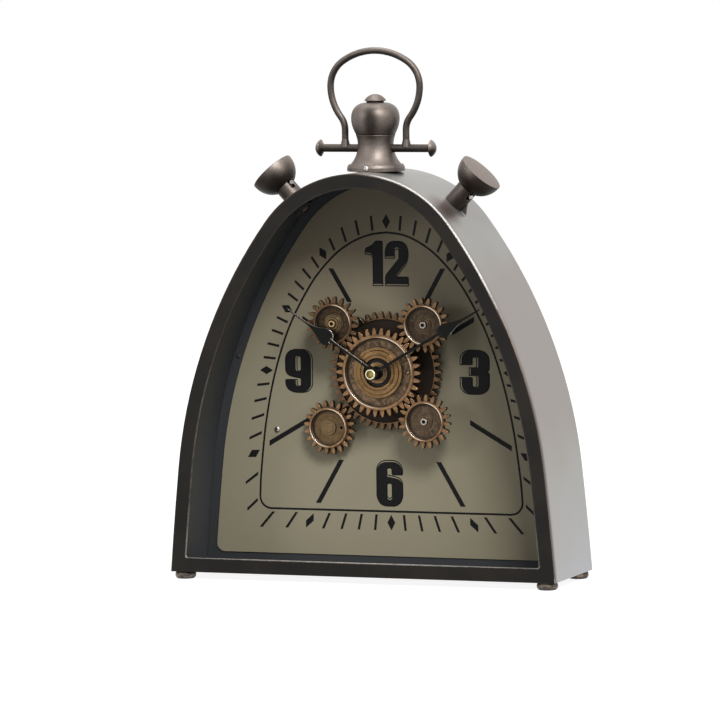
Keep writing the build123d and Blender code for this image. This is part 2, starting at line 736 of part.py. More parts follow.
def sleeve_lug():
    """Small gusset between the right sleeve and the band, on the side away from the crown."""
    wall = (SLEEVE_RADIUS + SLEEVE_BORE) / 2
    outline = Polyline(
        (wall, 0),
        (SLEEVE_RADIUS + LUG_REACH, 0),
        (SLEEVE_RADIUS, LUG_HEIGHT),
        (wall, LUG_HEIGHT),
        close=True,
    )
    lug = extrude(Plane.XZ * make_face(outline), LUG_THICKNESS / 2, both=True)
    return Rot(0, 0, PUSHER_TWIST) * lug


def pusher_nuts():
    drop = nut_seat(STUD_NUT_RADIUS) + STUD_NUT_HEIGHT
    return [arch_frame_at(side) * Pos(0, 0, -drop) * stud_nut() for side in (-1, 1)]


def bowl_wall(mouth_radius, rim_radius, rim_height):
    """Curve of the bowl from its mouth out to its rim, bulging outwards."""
    out = rim_radius - mouth_radius
    rise = rim_height - CAP_MOUTH
    bulge = CAP_BULGE / sqrt(out**2 + rise**2)
    middle = (mouth_radius + out / 2 + bulge * rise, CAP_MOUTH + rise / 2 - bulge * out)
    return ThreePointArc((mouth_radius, CAP_MOUTH), middle, (rim_radius, rim_height))


def pusher_cap(side):
    """Hollow bowl with a domed top and a plunger inside the sleeve, drilled for the pin."""
    mouth = SLEEVE_RADIUS + CAP_MOUTH_CLEARANCE
    inner_rim = CAP_RIM_RADIUS - CAP_WALL
    under = CAP_RIM_HEIGHT - CAP_WALL
    rim_low = CAP_RIM_HEIGHT - CAP_WALL / 2
    plunger = SLEEVE_BORE - SHAFT_CLEARANCE
    wall_mouth = mouth + CAP_WALL * 0.6
    outline = [
        Polyline((0, PLUNGER_BOTTOM), (plunger, PLUNGER_BOTTOM), (plunger, under), (inner_rim, under)),
        bowl_wall(mouth, inner_rim, under),
        Line((mouth, CAP_MOUTH), (wall_mouth, CAP_MOUTH)),
        bowl_wall(wall_mouth, CAP_RIM_RADIUS, rim_low),
        Line((CAP_RIM_RADIUS, rim_low), (CAP_RIM_RADIUS, CAP_RIM_HEIGHT)),
        dome(CAP_RIM_RADIUS, CAP_RIM_HEIGHT, CAP_RIM_HEIGHT + CAP_DOME),
        Line((0, CAP_RIM_HEIGHT + CAP_DOME), (0, PLUNGER_BOTTOM)),
    ]
    return arch_frame_at(side) * (turned(*outline) - cross_rod(2 * SLEEVE_RADIUS))


def cross_rod(half_length):
    """Rod of the cross pin's size, along the pusher frame's own X."""
    return Pos(0, 0, PIN_HEIGHT) * extrude(Plane.YZ * Circle(PIN_RADIUS), half_length, both=True)


def pusher_pin(side):
    return arch_frame_at(side) * cross_rod(SLEEVE_RADIUS + PIN_PROUD)


def pusher_spring(side):
    """Coil between the sleeve's floor and the plunger."""
    low = SLEEVE_FLOOR + SPRING_WIRE + SPRING_PLAY
    height = PLUNGER_BOTTOM - SPRING_WIRE - SPRING_PLAY - low
    coil = Helix(height / SPRING_TURNS, height, SPRING_RADIUS)
    wire = sweep(Plane(origin=coil @ 0, z_dir=coil % 0) * Circle(SPRING_WIRE), path=coil, is_frenet=True)
    return arch_frame_at(side) * Pos(0, 0, low) * wire


# Gears


def involute(turn):
    return tan(turn) - turn


def gear_outline(teeth, phase=0.0):
    """Spur gear face: involute flanks as arcs, radial below the base circle; a tooth at `phase` degrees."""
    pitch = MODULE * teeth / 2
    base = pitch * cos(radians(PRESSURE_ANGLE))
    tip = pitch + MODULE
    root = pitch - DEDENDUM_RATIO * MODULE
    start = max(root, base)
    half = TOOTH_THICKNESS / (2 * pitch) + involute(radians(PRESSURE_ANGLE))

    def at(radius, middle, hand):
        spread = half - involute(acos(base / max(radius, base)))
        return (radius * cos(middle + hand * spread), radius * sin(middle + hand * spread))

    edges = []
    levels = (start, (start + tip) / 2, tip)
    for tooth in range(teeth):
        middle = radians(phase) + 2 * pi * tooth / teeth
        following = middle + 2 * pi / teeth
        for hand in (-1, 1):
            edges.append(ThreePointArc(*[at(radius, middle, hand) for radius in levels]))
        edges.append(Line(at(tip, middle, -1), at(tip, middle, 1)))
        if root < base:
            edges.append(Line(at(root, middle, -1), at(start, middle, -1)))
            edges.append(Line(at(start, middle, 1), at(root, middle, 1)))
        edges.append(Line(at(root, middle, 1), at(root, following, -1)))
    return make_face(edges)


def meshing_phase(teeth, turn, partner_teeth):
    """Phase of a gear at angle `turn` from its partner, whose own tooth is at zero degrees."""
    ahead = turn * partner_teeth / 360.0
    return turn + 180.0 - (0.5 - ahead) * 360.0 / teeth


def web_profile(rim_outer, rim_inner, hub_steps, bore, lift=0.0):
    """Turned middle of a gear: raised rim ring, dropped web and a stepped hub, bored through."""
    face = GEAR_THICKNESS + lift
    points = [(bore, 0), (rim_outer, 0), (rim_outer, face + RIM_RAISE), (rim_inner, face + RIM_RAISE)]
    points.append((rim_inner, face - WEB_DROP))
    level = face - WEB_DROP
    for radius, height in hub_steps:
        points += [(radius, level), (radius, height + lift)]
        level = height + lift
    points.append((bore, level))
    return lathe(*points)


def small_gear(turn, partner_teeth, hub_steps, bore, hole_turn=None, lift=0.0):
    """Twenty-tooth gear with its middle turned out; hole_turn places the small hole in its web."""
    phase = meshing_phase(SMALL_TEETH, turn, partner_teeth)
    gear = extrude(gear_outline(SMALL_TEETH, phase) - Circle(SMALL_RIM_OUTER), GEAR_THICKNESS)
    gear += web_profile(SMALL_RIM_OUTER, SMALL_RIM_INNER, hub_steps, bore, lift)
    if hole_turn is not None:
        place = Pos(WEB_HOLE_AT * cos(radians(hole_turn)), WEB_HOLE_AT * sin(radians(hole_turn)), 0)
        gear -= place * rod(WEB_HOLE_RADIUS, GEAR_THICKNESS + lift)
    return gear


IDLER_HUBS = {
    "upper_left": [
        (CONE_HUB_RADIUS - step * CONE_HUB_STEP, CONE_HUB_LOW + step * CONE_HUB_RISE) for step in range(3)
    ],
    "upper_right": [(SMALL_HUB_RADIUS, SMALL_HUB_LOW), (SMALL_HUB_STEP_RADIUS, SMALL_HUB_HIGH)],
    "lower_right": [(SMALL_HUB_RADIUS, SMALL_HUB_LOW), (SMALL_HUB_STEP_RADIUS, SMALL_HUB_HIGH)],
}
IDLER_HOLES = {"upper_left": None, "upper_right": 150.0, "lower_right": 308.0}


def idler_gear(name):
    x, z = idler_places()[name]
    bore = SMALL_BORE + SHAFT_CLEARANCE
    gear = small_gear(IDLER_ANGLES[name], CENTRE_TEETH, IDLER_HUBS[name], bore, IDLER_HOLES[name])
    return on_dial(x, z, CENTRE_GEAR_DEPTH) * gear


def idler_post(name):
    """Shouldered post through the dial and panel, flared over the gear like a hollow rivet."""
    x, z = idler_places()[name]
    hub_top = IDLER_HUBS[name][-1][1]
    shoulder = CENTRE_GEAR_DEPTH - CLUSTER_PLAY / 2
    head = CENTRE_GEAR_DEPTH + hub_top + CLUSTER_PLAY / 2
    behind = -DIAL_THICKNESS - PANEL_THICKNESS
    post = lathe(
        (0, behind),
        (SMALL_BORE, behind),
        (SMALL_BORE, 0),
        (POST_COLLAR_RADIUS, 0),
        (POST_COLLAR_RADIUS, shoulder),
        (SMALL_BORE, shoulder),
        (SMALL_BORE, head),
        (POST_HEAD_RADIUS, head),
        (POST_HEAD_RADIUS * 0.8, head + POST_HEAD_HEIGHT),
        (POST_END_BORE, head + POST_HEAD_HEIGHT),
        (POST_END_BORE, head),
        (0, head),
    )
    return on_dial(x, z) * post


def drive_gear():
    """Gear on the motor's shaft: its middle stands forwards of its teeth, and its bore is blind."""
    hub = [(SMALL_HUB_RADIUS, DRIVE_HUB_LOW), (DRIVE_HUB_RADIUS, GEAR_THICKNESS)]
    gear = small_gear(DRIVE_ANGLE, BACK_TEETH, hub, 0, hole_turn=0.0, lift=DRIVE_LIFT)
    gear -= rod(DRIVE_SHAFT_RADIUS, DRIVE_BORE_DEPTH)
    return on_dial(DRIVE_X, DRIVE_Z, DRIVE_GEAR_DEPTH) * gear


def drive_shaft():
    """Motor shaft, pressed into the drive gear and running in the motor's front bearing."""
    start = -DIAL_THICKNESS - PANEL_THICKNESS - MODULE_DEPTH / 2
    length = DRIVE_GEAR_DEPTH + DRIVE_BORE_DEPTH - start
    return on_dial(DRIVE_X, DRIVE_Z, start) * rod(DRIVE_SHAFT_RADIUS, length)


def back_gear():
    """Large toothed ring with an inner ledge that carries the dark web plate."""
    ring_gear = extrude(gear_outline(BACK_TEETH) - Circle(BACK_RIM_RADIUS), GEAR_THICKNESS)
    ledge = ring(BACK_RIM_RADIUS, BACK_RIM_RADIUS - BACK_LEDGE, GEAR_THICKNESS / 2)
    return on_dial(depth=BACK_GEAR_DEPTH) * (ring_gear + ledge)


def back_gear_web():
    disc = ring(BACK_RIM_RADIUS, CLUSTER_HUB_RADIUS, GEAR_THICKNESS / 4)
    return on_dial(depth=BACK_GEAR_DEPTH + GEAR_THICKNESS / 2) * disc


def gear_hub():
    """Flanged sleeve that carries both large gears and runs on the fixed bush."""
    start = BUSH_NUT_HEIGHT + CLUSTER_PLAY
    length = CENTRE_GEAR_DEPTH - start
    seat = BACK_GEAR_DEPTH + GEAR_THICKNESS / 2 - start
    hub = ring(CLUSTER_HUB_RADIUS, BUSH_RADIUS + SHAFT_CLEARANCE, length)
    flange = ring(CLUSTER_FLANGE_RADIUS, BUSH_RADIUS + SHAFT_CLEARANCE, seat)
    return on_dial(depth=start) * (hub + flange)


def centre_gear():
    """Gear with a raised rim ring and a dropped, rough web; the turned disc sits in the middle."""
    gear = extrude(gear_outline(CENTRE_TEETH) - Circle(CENTRE_RIM_OUTER), GEAR_THICKNESS)
    hub = [(CENTRE_DISC_RADIUS, GEAR_THICKNESS)]
    gear += web_profile(CENTRE_RIM_OUTER, CENTRE_RIM_INNER, hub, BUSH_RADIUS + SHAFT_CLEARANCE)
    gear -= Pos(RIVET_AT, 0, 0) * rod(RIVET_RADIUS * 0.7, GEAR_THICKNESS)
    return on_dial(depth=CENTRE_GEAR_DEPTH) * gear


def centre_disc():
    """Gold disc turned with a step and a chamfer, open in the middle round the collar."""
    disc = lathe(
        (CENTRE_HOLE_RADIUS, 0),
        (CENTRE_DISC_RADIUS, 0),
        (CENTRE_DISC_RADIUS, CENTRE_STEP_RAISE),
        (CENTRE_STEP_RADIUS, CENTRE_STEP_RAISE),
        (CENTRE_STEP_RADIUS - CENTRE_CHAMFER, CENTRE_DISC_RAISE),
        (CENTRE_HOLE_RADIUS + CENTRE_CHAMFER, CENTRE_DISC_RAISE),
        (CENTRE_HOLE_RADIUS, CENTRE_DISC_RAISE - CENTRE_CHAMFER),
    )
    groove = ring(CENTRE_GROOVE_RADIUS, CENTRE_GROOVE_RADIUS - CENTRE_GROOVE_WIDTH, CENTRE_GROOVE_DEPTH)
    disc -= Pos(0, 0, CENTRE_DISC_RAISE - CENTRE_GROOVE_DEPTH) * groove
    return on_dial(depth=FRONT_FACE) * disc


def cluster_rivet():
    shank = RIVET_RADIUS * 0.7
    web = GEAR_THICKNESS - WEB_DROP
    top = web + RIVET_HEAD
    outline = Polyline((0, top), (0, 0), (shank, 0), (shank, web), (RIVET_RADIUS, web))
    return on_dial(RIVET_AT, AXIS_Z, CENTRE_GEAR_DEPTH) * turned(outline, dome(RIVET_RADIUS, web, top))


# Centre stack and hands


def centre_bush():
    """Fixed tube of the movement: the gear cluster turns on it, the hour pipe turns inside it."""
    behind = DIAL_THICKNESS + PANEL_THICKNESS
    return on_dial(depth=-behind) * ring(BUSH_RADIUS, PIPE_RADIUS + SHAFT_CLEARANCE, behind + BUSH_REACH)


def bush_nut():
    return on_dial() * extrude(RegularPolygon(BUSH_NUT_RADIUS, 6) - Circle(BUSH_RADIUS), BUSH_NUT_HEIGHT)


def retaining_collar():
    start = FRONT_FACE + CLUSTER_PLAY
    return on_dial(depth=start) * ring(COLLAR_RADIUS, BUSH_RADIUS, COLLAR_HEIGHT)


def hand_outline(tip, lobe_at, lobe_radius, lobe_length, flare_end, hub_radius, bore):
    """Hand pointing along local +Y: stem, oval lobe, concave flare and fine tip, with a hub eye."""
    root = HAND_STEM_HALF * 1.2
    lobe_edge = (lobe_radius * cos(radians(28)), lobe_at + lobe_length * sin(radians(28)))
    flare = (HAND_STEM_HALF * 0.8, flare_end)
    hollow = (lobe_edge[0] * 0.42, lobe_edge[1] + (flare_end - lobe_edge[1]) * 0.36)
    right = [
        Polyline((root, 0), (HAND_STEM_HALF, lobe_at), lobe_edge),
        ThreePointArc(lobe_edge, hollow, flare),
        Line(flare, (HAND_TIP_HALF, tip)),
    ]
    left = [edge.mirror(Plane.YZ) for edge in right]
    ends = [Line((-root, 0), (root, 0)), Line((-HAND_TIP_HALF, tip), (HAND_TIP_HALF, tip))]
    blade = make_face([*right, *left, *ends]) + Pos(0, lobe_at) * Ellipse(lobe_radius, lobe_length)
    return blade + Circle(hub_radius) - Circle(bore)


def placed_hand(outline, angle, depth):
    return on_dial(depth=depth) * Rot(0, 0, -angle) * extrude(outline, HAND_THICKNESS)


def hour_hand():
    outline = hand_outline(
        HOUR_TIP,
        HOUR_LOBE_AT,
        HOUR_LOBE_RADIUS,
        HOUR_LOBE_LENGTH,
        HOUR_FLARE_END,
        PIPE_FLANGE_RADIUS,
        PIPE_RADIUS,
    )
    return placed_hand(outline, HOUR_ANGLE, HOUR_HAND_DEPTH)


def minute_hand():
    outline = hand_outline(
        MINUTE_TIP,
        MINUTE_LOBE_AT,
        MINUTE_LOBE_RADIUS,
        MINUTE_LOBE_LENGTH,
        MINUTE_FLARE_END,
        MINUTE_HUB_RADIUS,
        ARBOR_RADIUS,
    )
    return placed_hand(outline, MINUTE_ANGLE, MINUTE_HAND_DEPTH)


def hour_pipe():
    """Pipe running in the bush, with a black collar that the hour hand is pressed against."""
    bore = ARBOR_RADIUS + SHAFT_CLEARANCE
    inside = -DIAL_THICKNESS - PANEL_THICKNESS - PIPE_REACH
    start = BUSH_REACH + CLUSTER_PLAY
    end = HOUR_HAND_DEPTH + HAND_THICKNESS + HAND_SEAT
    pipe = lathe(
        (bore, inside),
        (PIPE_RADIUS, inside),
        (PIPE_RADIUS, start),
        (PIPE_FLANGE_RADIUS, start),
        (PIPE_FLANGE_RADIUS, HOUR_HAND_DEPTH),
        (PIPE_RADIUS, HOUR_HAND_DEPTH),
        (PIPE_RADIUS, end),
        (bore, end),
    )
    return on_dial() * pipe


def minute_arbor():
    """Arbor through the hour pipe, with a sleeve that carries the minute hand in front."""
    inside = -DIAL_THICKNESS - PANEL_THICKNESS - ARBOR_REACH
    start = HOUR_HAND_DEPTH + HAND_THICKNESS + HAND_SEAT + CLUSTER_PLAY
    top = MINUTE_HAND_DEPTH + HAND_THICKNESS + NUT_HEIGHT / 2
    arbor = lathe(
        (0, inside),
        (ARBOR_RADIUS, inside),
        (ARBOR_RADIUS, start),
        (ARBOR_SLEEVE_RADIUS, start),
        (MINUTE_HUB_RADIUS * 0.9, MINUTE_HAND_DEPTH),
        (ARBOR_RADIUS, MINUTE_HAND_DEPTH),
        (ARBOR_RADIUS, top),
        (0, top),
    )
    return on_dial() * arbor


def hand_nut():
    """Open brass ring nut on the arbor's end."""
    nut = lathe(
        (ARBOR_RADIUS, 0),
        (NUT_RADIUS, 0),
        (NUT_RADIUS, NUT_HEIGHT - NUT_CHAMFER),
        (NUT_RADIUS - NUT_CHAMFER, NUT_HEIGHT),
        (NUT_BORE, NUT_HEIGHT),
        (NUT_BORE, NUT_HEIGHT / 2),
        (ARBOR_RADIUS, NUT_HEIGHT / 2),
    )
    return on_dial(depth=MINUTE_HAND_DEPTH + HAND_THICKNESS) * nut


# Movement and motor


def module_plane(x, z):
    """Plane on the panel's back, its Z pointing backwards and its Y up."""
    return Plane(origin=(x, MODULE_Y, z), x_dir=(-1, 0, 0), z_dir=(0, 1, 0))


def housing(width, height, bay):
    """Moulded box with rounded corners, a chamfered back and an open bay for a cell."""
    box = extrude(RectangleRounded(width, height, MODULE_CORNER), MODULE_DEPTH)
    back = box.faces().sort_by(Axis.Z)[-1]
    box = chamfer(back.edges(), MODULE_CORNER / 4)
    return box - bay


def bay_cut(length_along_x):
    across = (BAY_LENGTH, BAY_WIDTH) if length_along_x else (BAY_WIDTH, BAY_LENGTH)
    return extrude(Rectangle(*across), MODULE_DEPTH)


def movement_bay_drop():
    return MOVEMENT_SIZE / 2 - BAY_WALL - BAY_WIDTH / 2


def movement_case():
    """Battery movement behind the dial's centre, with its cell lying along the bottom."""
    floor = MODULE_DEPTH - 2 * CELL_RADIUS - BAY_CLEARANCE
    bay = Pos(0, -movement_bay_drop(), floor) * bay_cut(True)
    box = housing(MOVEMENT_SIZE, MOVEMENT_SIZE, bay)
    box -= rod(PIPE_RADIUS + HOLE_CLEARANCE, MODULE_DEPTH / 3)
    box -= Pos(0, KNOB_OFFSET, 0) * rod(KNOB_STEM_RADIUS + SHAFT_CLEARANCE, MODULE_DEPTH)
    return module_plane(0, AXIS_Z) * box


def cell():
    """Round dry cell with its nub, along Z, middle at the origin."""
    half = (CELL_LENGTH + CELL_NUB_LENGTH) / 2
    return lathe(
        (0, -half),
        (CELL_RADIUS, -half),
        (CELL_RADIUS, half - CELL_NUB_LENGTH),
        (CELL_NUB_RADIUS, half - CELL_NUB_LENGTH),
        (CELL_NUB_RADIUS, half),
        (0, half),
    )


def cell_level():
    return MODULE_DEPTH - CELL_RADIUS - BAY_CLEARANCE


def movement_battery():
    lying = Pos(0, -movement_bay_drop(), cell_level()) * Rot(0, 90, 0) * cell()
    return module_plane(0, AXIS_Z) * lying


def motor_bay_shift():
    return MOTOR_WIDTH / 2 - BAY_WALL - BAY_WIDTH / 2


def gear_motor():
    """Flat geared motor beside the movement, with its own cell standing at the outer side."""
    floor = MODULE_DEPTH - 2 * CELL_RADIUS - BAY_CLEARANCE
    bay = Pos(motor_bay_shift(), 0, floor) * bay_cut(False)
    box = housing(MOTOR_WIDTH, MOTOR_HEIGHT, bay)
    for place in motor_ears():
        box += Pos(*place) * rod(MOTOR_EAR_RADIUS, MOTOR_EAR_THICKNESS)
    for place in motor_ears():
        box -= Pos(*place) * rod(MOTOR_SCREW_RADIUS, MOTOR_EAR_THICKNESS)
    shaft = Pos(MOTOR_X - DRIVE_X, DRIVE_Z - MOTOR_Z, 0)
    box -= shaft * rod(DRIVE_SHAFT_RADIUS + SHAFT_CLEARANCE, MODULE_DEPTH / 2 + HOLE_CLEARANCE)
    return module_plane(MOTOR_X, MOTOR_Z) * box


def motor_ears():
    """Screw ears above and below the motor's housing, in its own plane."""
    reach = MOTOR_HEIGHT / 2 + MOTOR_EAR_RADIUS * 0.6
    return [(0, reach), (0, -reach)]


def motor_screws():
    seat = MOTOR_EAR_THICKNESS
    edge = seat + MOTOR_SCREW_EDGE
    top = seat + MOTOR_SCREW_HEAD
    outline = Polyline(
        (0, top),
        (0, -PANEL_THICKNESS),
        (MOTOR_SCREW_RADIUS, -PANEL_THICKNESS),
        (MOTOR_SCREW_RADIUS, seat),
        (MOTOR_SCREW_HEAD_RADIUS, seat),
        (MOTOR_SCREW_HEAD_RADIUS, edge),
    )
    screw = turned(outline, dome(MOTOR_SCREW_HEAD_RADIUS, edge, top))
    return [module_plane(MOTOR_X, MOTOR_Z) * Pos(*place) * screw for place in motor_ears()]


def motor_battery():
    standing = Pos(motor_bay_shift(), 0, cell_level()) * Rot(90, 0, 0) * cell()
    return module_plane(MOTOR_X, MOTOR_Z) * standing


def set_knob():
    """Fluted setting knob on the back of the movement, on a stem into its wheels."""
    knob = Circle(KNOB_RADIUS)
    for flute in range(KNOB_FLUTES):
        turn = 2 * pi * flute / KNOB_FLUTES
        knob -= Pos(KNOB_RADIUS * cos(turn), KNOB_RADIUS * sin(turn)) * Circle(KNOB_FLUTE_RADIUS)
    stem = Pos(0, 0, MODULE_DEPTH * 0.6) * rod(KNOB_STEM_RADIUS, MODULE_DEPTH * 0.4 + KNOB_GAP)
    head = Pos(0, 0, MODULE_DEPTH + KNOB_GAP) * extrude(knob, KNOB_HEIGHT)
    return module_plane(0, AXIS_Z) * Pos(0, KNOB_OFFSET, 0) * (stem + head)


def all_pieces():
    pieces = {
        "case_band": case_band(),
        "front_frame": front_frame(),
        "base_plate": base_plate(),
        "dial_backing": dial_backing(),
        "panel_brackets": panel_brackets(),
        "panel_screws": panel_screws(),
        "dial_plate": dial_plate(),
        "dial_screw": dial_screw(),
        "back_pillars": back_pillars(),
        "back_cover": back_cover(),
        "back_cover_screws": back_cover_screws(),
        "crown_stem": crown_stem(),
        "crown_bulb": crown_bulb(),
        "crown_finial": crown_finial(),
        "crown_screw": crown_screw(),
        "crown_nut": crown_nut(),
        "pusher_nuts": pusher_nuts(),
        "centre_bush": centre_bush(),
        "bush_nut": bush_nut(),
        "retaining_collar": retaining_collar(),
        "movement_case": movement_case(),
        "movement_battery": movement_battery(),
        "gear_motor": gear_motor(),
        "motor_battery": motor_battery(),
        "motor_screws": motor_screws(),
        "back_gear": back_gear(),
        "back_gear_web": back_gear_web(),
        "gear_hub": gear_hub(),
        "centre_gear": centre_gear(),
        "centre_disc": centre_disc(),
        "cluster_rivet": cluster_rivet(),
        "drive_gear": drive_gear(),
        "drive_shaft": drive_shaft(),
        "hour_pipe": hour_pipe(),
        "hour_hand": hour_hand(),
        "minute_arbor": minute_arbor(),
        "minute_hand": minute_hand(),
        "hand_nut": hand_nut(),
        "set_knob": set_knob(),
        "bow_bar": bow_bar(),
        "bow_loop": bow_loop(),
        "bow_knobs": bow_knobs(),
    }
    foot_x = CASE_WIDTH / 2 - FOOT_INSET
    foot_y = CASE_DEPTH / 2 - FOOT_INSET
    for depth_name, y in (("front", -foot_y), ("back", foot_y)):
        for side_name, x in (("left", -foot_x), ("right", foot_x)):
            pieces[f"foot_{depth_name}_{side_name}"] = foot(x, y)
    for name in IDLER_ANGLES:
        pieces[f"idler_gear_{name}"] = idler_gear(name)
        pieces[f"idler_post_{name}"] = idler_post(name)
    for side_name, side in (("left", -1), ("right", 1)):
        pieces[f"pusher_sleeve_{side_name}"] = pusher_sleeve(side)
        pieces[f"pusher_cap_{side_name}"] = pusher_cap(side)
        pieces[f"pusher_pin_{side_name}"] = pusher_pin(side)
        pieces[f"pusher_spring_{side_name}"] = pusher_spring(side)
    return pieces


os.makedirs("parts", exist_ok=True)
for name, piece in all_pieces().items():
    shape = Compound(children=piece) if isinstance(piece, list) else piece
    export_step(shape, f"parts/{name}.step")
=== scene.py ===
import json
from math import asin, cos, pi, radians, sin

import bpy
from mathutils import Matrix, Vector

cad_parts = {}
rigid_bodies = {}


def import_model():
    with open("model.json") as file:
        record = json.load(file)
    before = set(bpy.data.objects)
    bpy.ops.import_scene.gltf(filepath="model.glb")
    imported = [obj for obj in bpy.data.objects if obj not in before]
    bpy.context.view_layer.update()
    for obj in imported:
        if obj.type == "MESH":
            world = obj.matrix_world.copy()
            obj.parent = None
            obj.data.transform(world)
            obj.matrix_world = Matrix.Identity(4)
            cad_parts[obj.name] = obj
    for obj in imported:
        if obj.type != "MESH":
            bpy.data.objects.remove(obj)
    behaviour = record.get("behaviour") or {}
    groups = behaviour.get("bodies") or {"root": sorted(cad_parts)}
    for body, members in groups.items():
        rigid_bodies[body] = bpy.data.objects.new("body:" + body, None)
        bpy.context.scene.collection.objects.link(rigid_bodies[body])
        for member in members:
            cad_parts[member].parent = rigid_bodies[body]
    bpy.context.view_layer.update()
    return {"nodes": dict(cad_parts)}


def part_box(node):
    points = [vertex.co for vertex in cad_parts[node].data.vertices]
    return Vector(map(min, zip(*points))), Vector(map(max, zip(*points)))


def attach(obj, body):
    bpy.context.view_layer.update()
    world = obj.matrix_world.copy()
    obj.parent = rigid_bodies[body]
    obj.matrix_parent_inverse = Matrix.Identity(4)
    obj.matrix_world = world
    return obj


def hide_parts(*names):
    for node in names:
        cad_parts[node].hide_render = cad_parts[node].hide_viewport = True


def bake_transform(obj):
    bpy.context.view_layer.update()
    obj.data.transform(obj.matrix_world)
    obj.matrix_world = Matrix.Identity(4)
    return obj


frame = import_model()


# The studio: a pale floor and a white surround that the metal reflects, with soft lamps in front and
# above. The camera stands at the photograph's angle, to the right of the dial and a little above it.
class Shade:
    """One socket of a node tree, so that a sum of sockets can be written as a sum."""

    def __init__(self, tree, socket=None):
        self.tree = tree
        self.socket = socket

    def node(self, kind, settings=(), sockets=(), out=0):
        """Adds a node: its settings come first, then the values or links of its sockets."""
        made = self.tree.nodes.new(kind)
        for name, value in dict(settings).items():
            setattr(made, name, value)
        for name, value in dict(sockets).items():
            self.feed(made.inputs[name], value)
        return Shade(self.tree, made.outputs[out])

    def feed(self, target, value):
        """Links a socket to the target, or sets a plain value on it."""
        if isinstance(value, Shade):
            self.tree.links.new(value.socket, target)
        else:
            target.default_value = value

    def sums(self, operation, first, second=0.0):
        """One Math node."""
        return self.node("ShaderNodeMath", {"operation": operation}, {0: first, 1: second})

    def __add__(self, other):
        return self.sums("ADD", self, other)

    __radd__ = __add__

    def __sub__(self, other):
        return self.sums("SUBTRACT", self, other)

    def __rsub__(self, other):
        return self.sums("SUBTRACT", other, self)

    def __mul__(self, other):
        return self.sums("MULTIPLY", self, other)

    __rmul__ = __mul__

    def __truediv__(self, other):
        return self.sums("DIVIDE", self, other)

    def __gt__(self, other):
        return self.sums("GREATER_THAN", self, other)

    def __lt__(self, other):
        return self.sums("LESS_THAN", self, other)


def seen_directly(tree):
    """One for a ray from the camera, or from a glossy or clear surface, and otherwise zero."""
    shade = Shade(tree)
    kinds = ("Is Camera Ray", "Is Glossy Ray", "Is Transmission Ray")
    camera_ray, glossy, clear = [shade.node("ShaderNodeLightPath", out=kind) for kind in kinds]
    return shade.sums("MAXIMUM", shade.sums("MAXIMUM", camera_ray, glossy), clear)


scene = bpy.context.scene
scene.view_settings.view_transform = "Standard"

surround_light = 0.36
world = bpy.data.worlds.new("white_surround")
scene.world = world
world.use_nodes = True
direct = seen_directly(world.node_tree)
background = world.node_tree.nodes["Background"]
background.inputs["Color"].default_value = (1, 1, 1, 1)
direct.feed(background.inputs["Strength"], surround_light + direct * (1 - surround_light))

floor_size, floor_tone, floor_glow = 40, 0.3, 0.9
bpy.ops.object.select_all(action="DESELECT")
bpy.ops.mesh.primitive_plane_add(size=floor_size, location=(0, 0, 0))
floor = bpy.context.object
floor.name = "studio_floor"
floor_paint = bpy.data.materials.new("floor_paint")
floor_paint.use_nodes = True
floor_surface = floor_paint.node_tree.nodes["Principled BSDF"]
floor_surface.inputs["Base Color"].default_value = (floor_tone, floor_tone, floor_tone, 1)
floor_surface.inputs["Roughness"].default_value = 1
floor_surface.inputs["Specular IOR Level"].default_value = 0
floor_surface.inputs["Emission Color"].default_value = (1, 1, 1, 1)
direct = seen_directly(floor_paint.node_tree)
direct.feed(floor_surface.inputs["Emission Strength"], direct * floor_glow)
floor.data.materials.append(floor_paint)

# Each lamp's place, size and power.
lamps = {
    "key_lamp": ((1.35, -2.05, 2.3), 0.9, 74),
    "right_lamp": ((2.5, -1.5, 1.2), 1.1, 14),
    "left_lamp": ((-2.1, -2.6, 1.1), 0.8, 17),
    "top_lamp": ((-0.4, 0.3, 2.7), 1.4, 26),
}
lamp_aim = Vector((0, 0, 0.16))
for lamp_name, (place, size, power) in lamps.items():
    bpy.ops.object.light_add(type="AREA", location=place)
    lamp = bpy.context.object
    lamp.name = lamp_name
    lamp.data.size = size
    lamp.data.energy = power
    lamp.rotation_euler = (lamp_aim - Vector(place)).to_track_quat("-Z", "Y").to_euler()

yaw, pitch, roll = radians(20.637), radians(4.674), radians(0.747)
camera_reach, camera_lens, film_width, far_limit = 3.6716, 276.58, 36, 100
aim_side, aim_height = -0.01226, 0.1458
back = Vector((sin(yaw) * cos(pitch), -cos(yaw) * cos(pitch), sin(pitch)))
right = Vector((cos(yaw), sin(yaw), 0))
up = back.cross(right)
eye = Vector((0, 0, aim_height)) + right * aim_side + back * camera_reach
tilted_right = right * cos(roll) - up * sin(roll)
tilted_up = right * sin(roll) + up * cos(roll)
bpy.ops.object.camera_add()
camera = bpy.context.object
camera.name = "photo_camera"
camera.data.sensor_width = film_width
camera.data.lens = camera_lens
camera.data.clip_end = far_limit
turned = Matrix((tilted_right, tilted_up, back)).transposed().to_4x4()
camera.matrix_world = Matrix.Translation(eye) @ turned
scene.camera = camera


# The case: a bent steel band, a flat front frame welded round its edge, a base plate and bun feet.
# The frame is sprayed brown black and worn to bare metal on its edges, most of all at the upper
# right, where the worn outer edge carries a painted highlight; the inner edge is painted lighter low
# down as a highlight. The band is a smooth satin grey outside, with a painted reflection and shadow
# of the right pusher's sleeve; inside it is painted like the dial's panel, darker towards the top as
# painted shade.
def new_finish(name):
    """A new material, its node tree as a Shade, and its shader."""
    material = bpy.data.materials.new(name)
    material.use_nodes = True
    return material, Shade(material.node_tree), material.node_tree.nodes["Principled BSDF"]


def mixed(shade, factor, first, second):
    """Colour between two colours."""
    first, second = [c if isinstance(c, Shade) else (*c, 1) for c in (first, second)]
    return shade.node("ShaderNodeMix", {"data_type": "RGBA"}, {0: factor, 6: first, 7: second}, out=2)


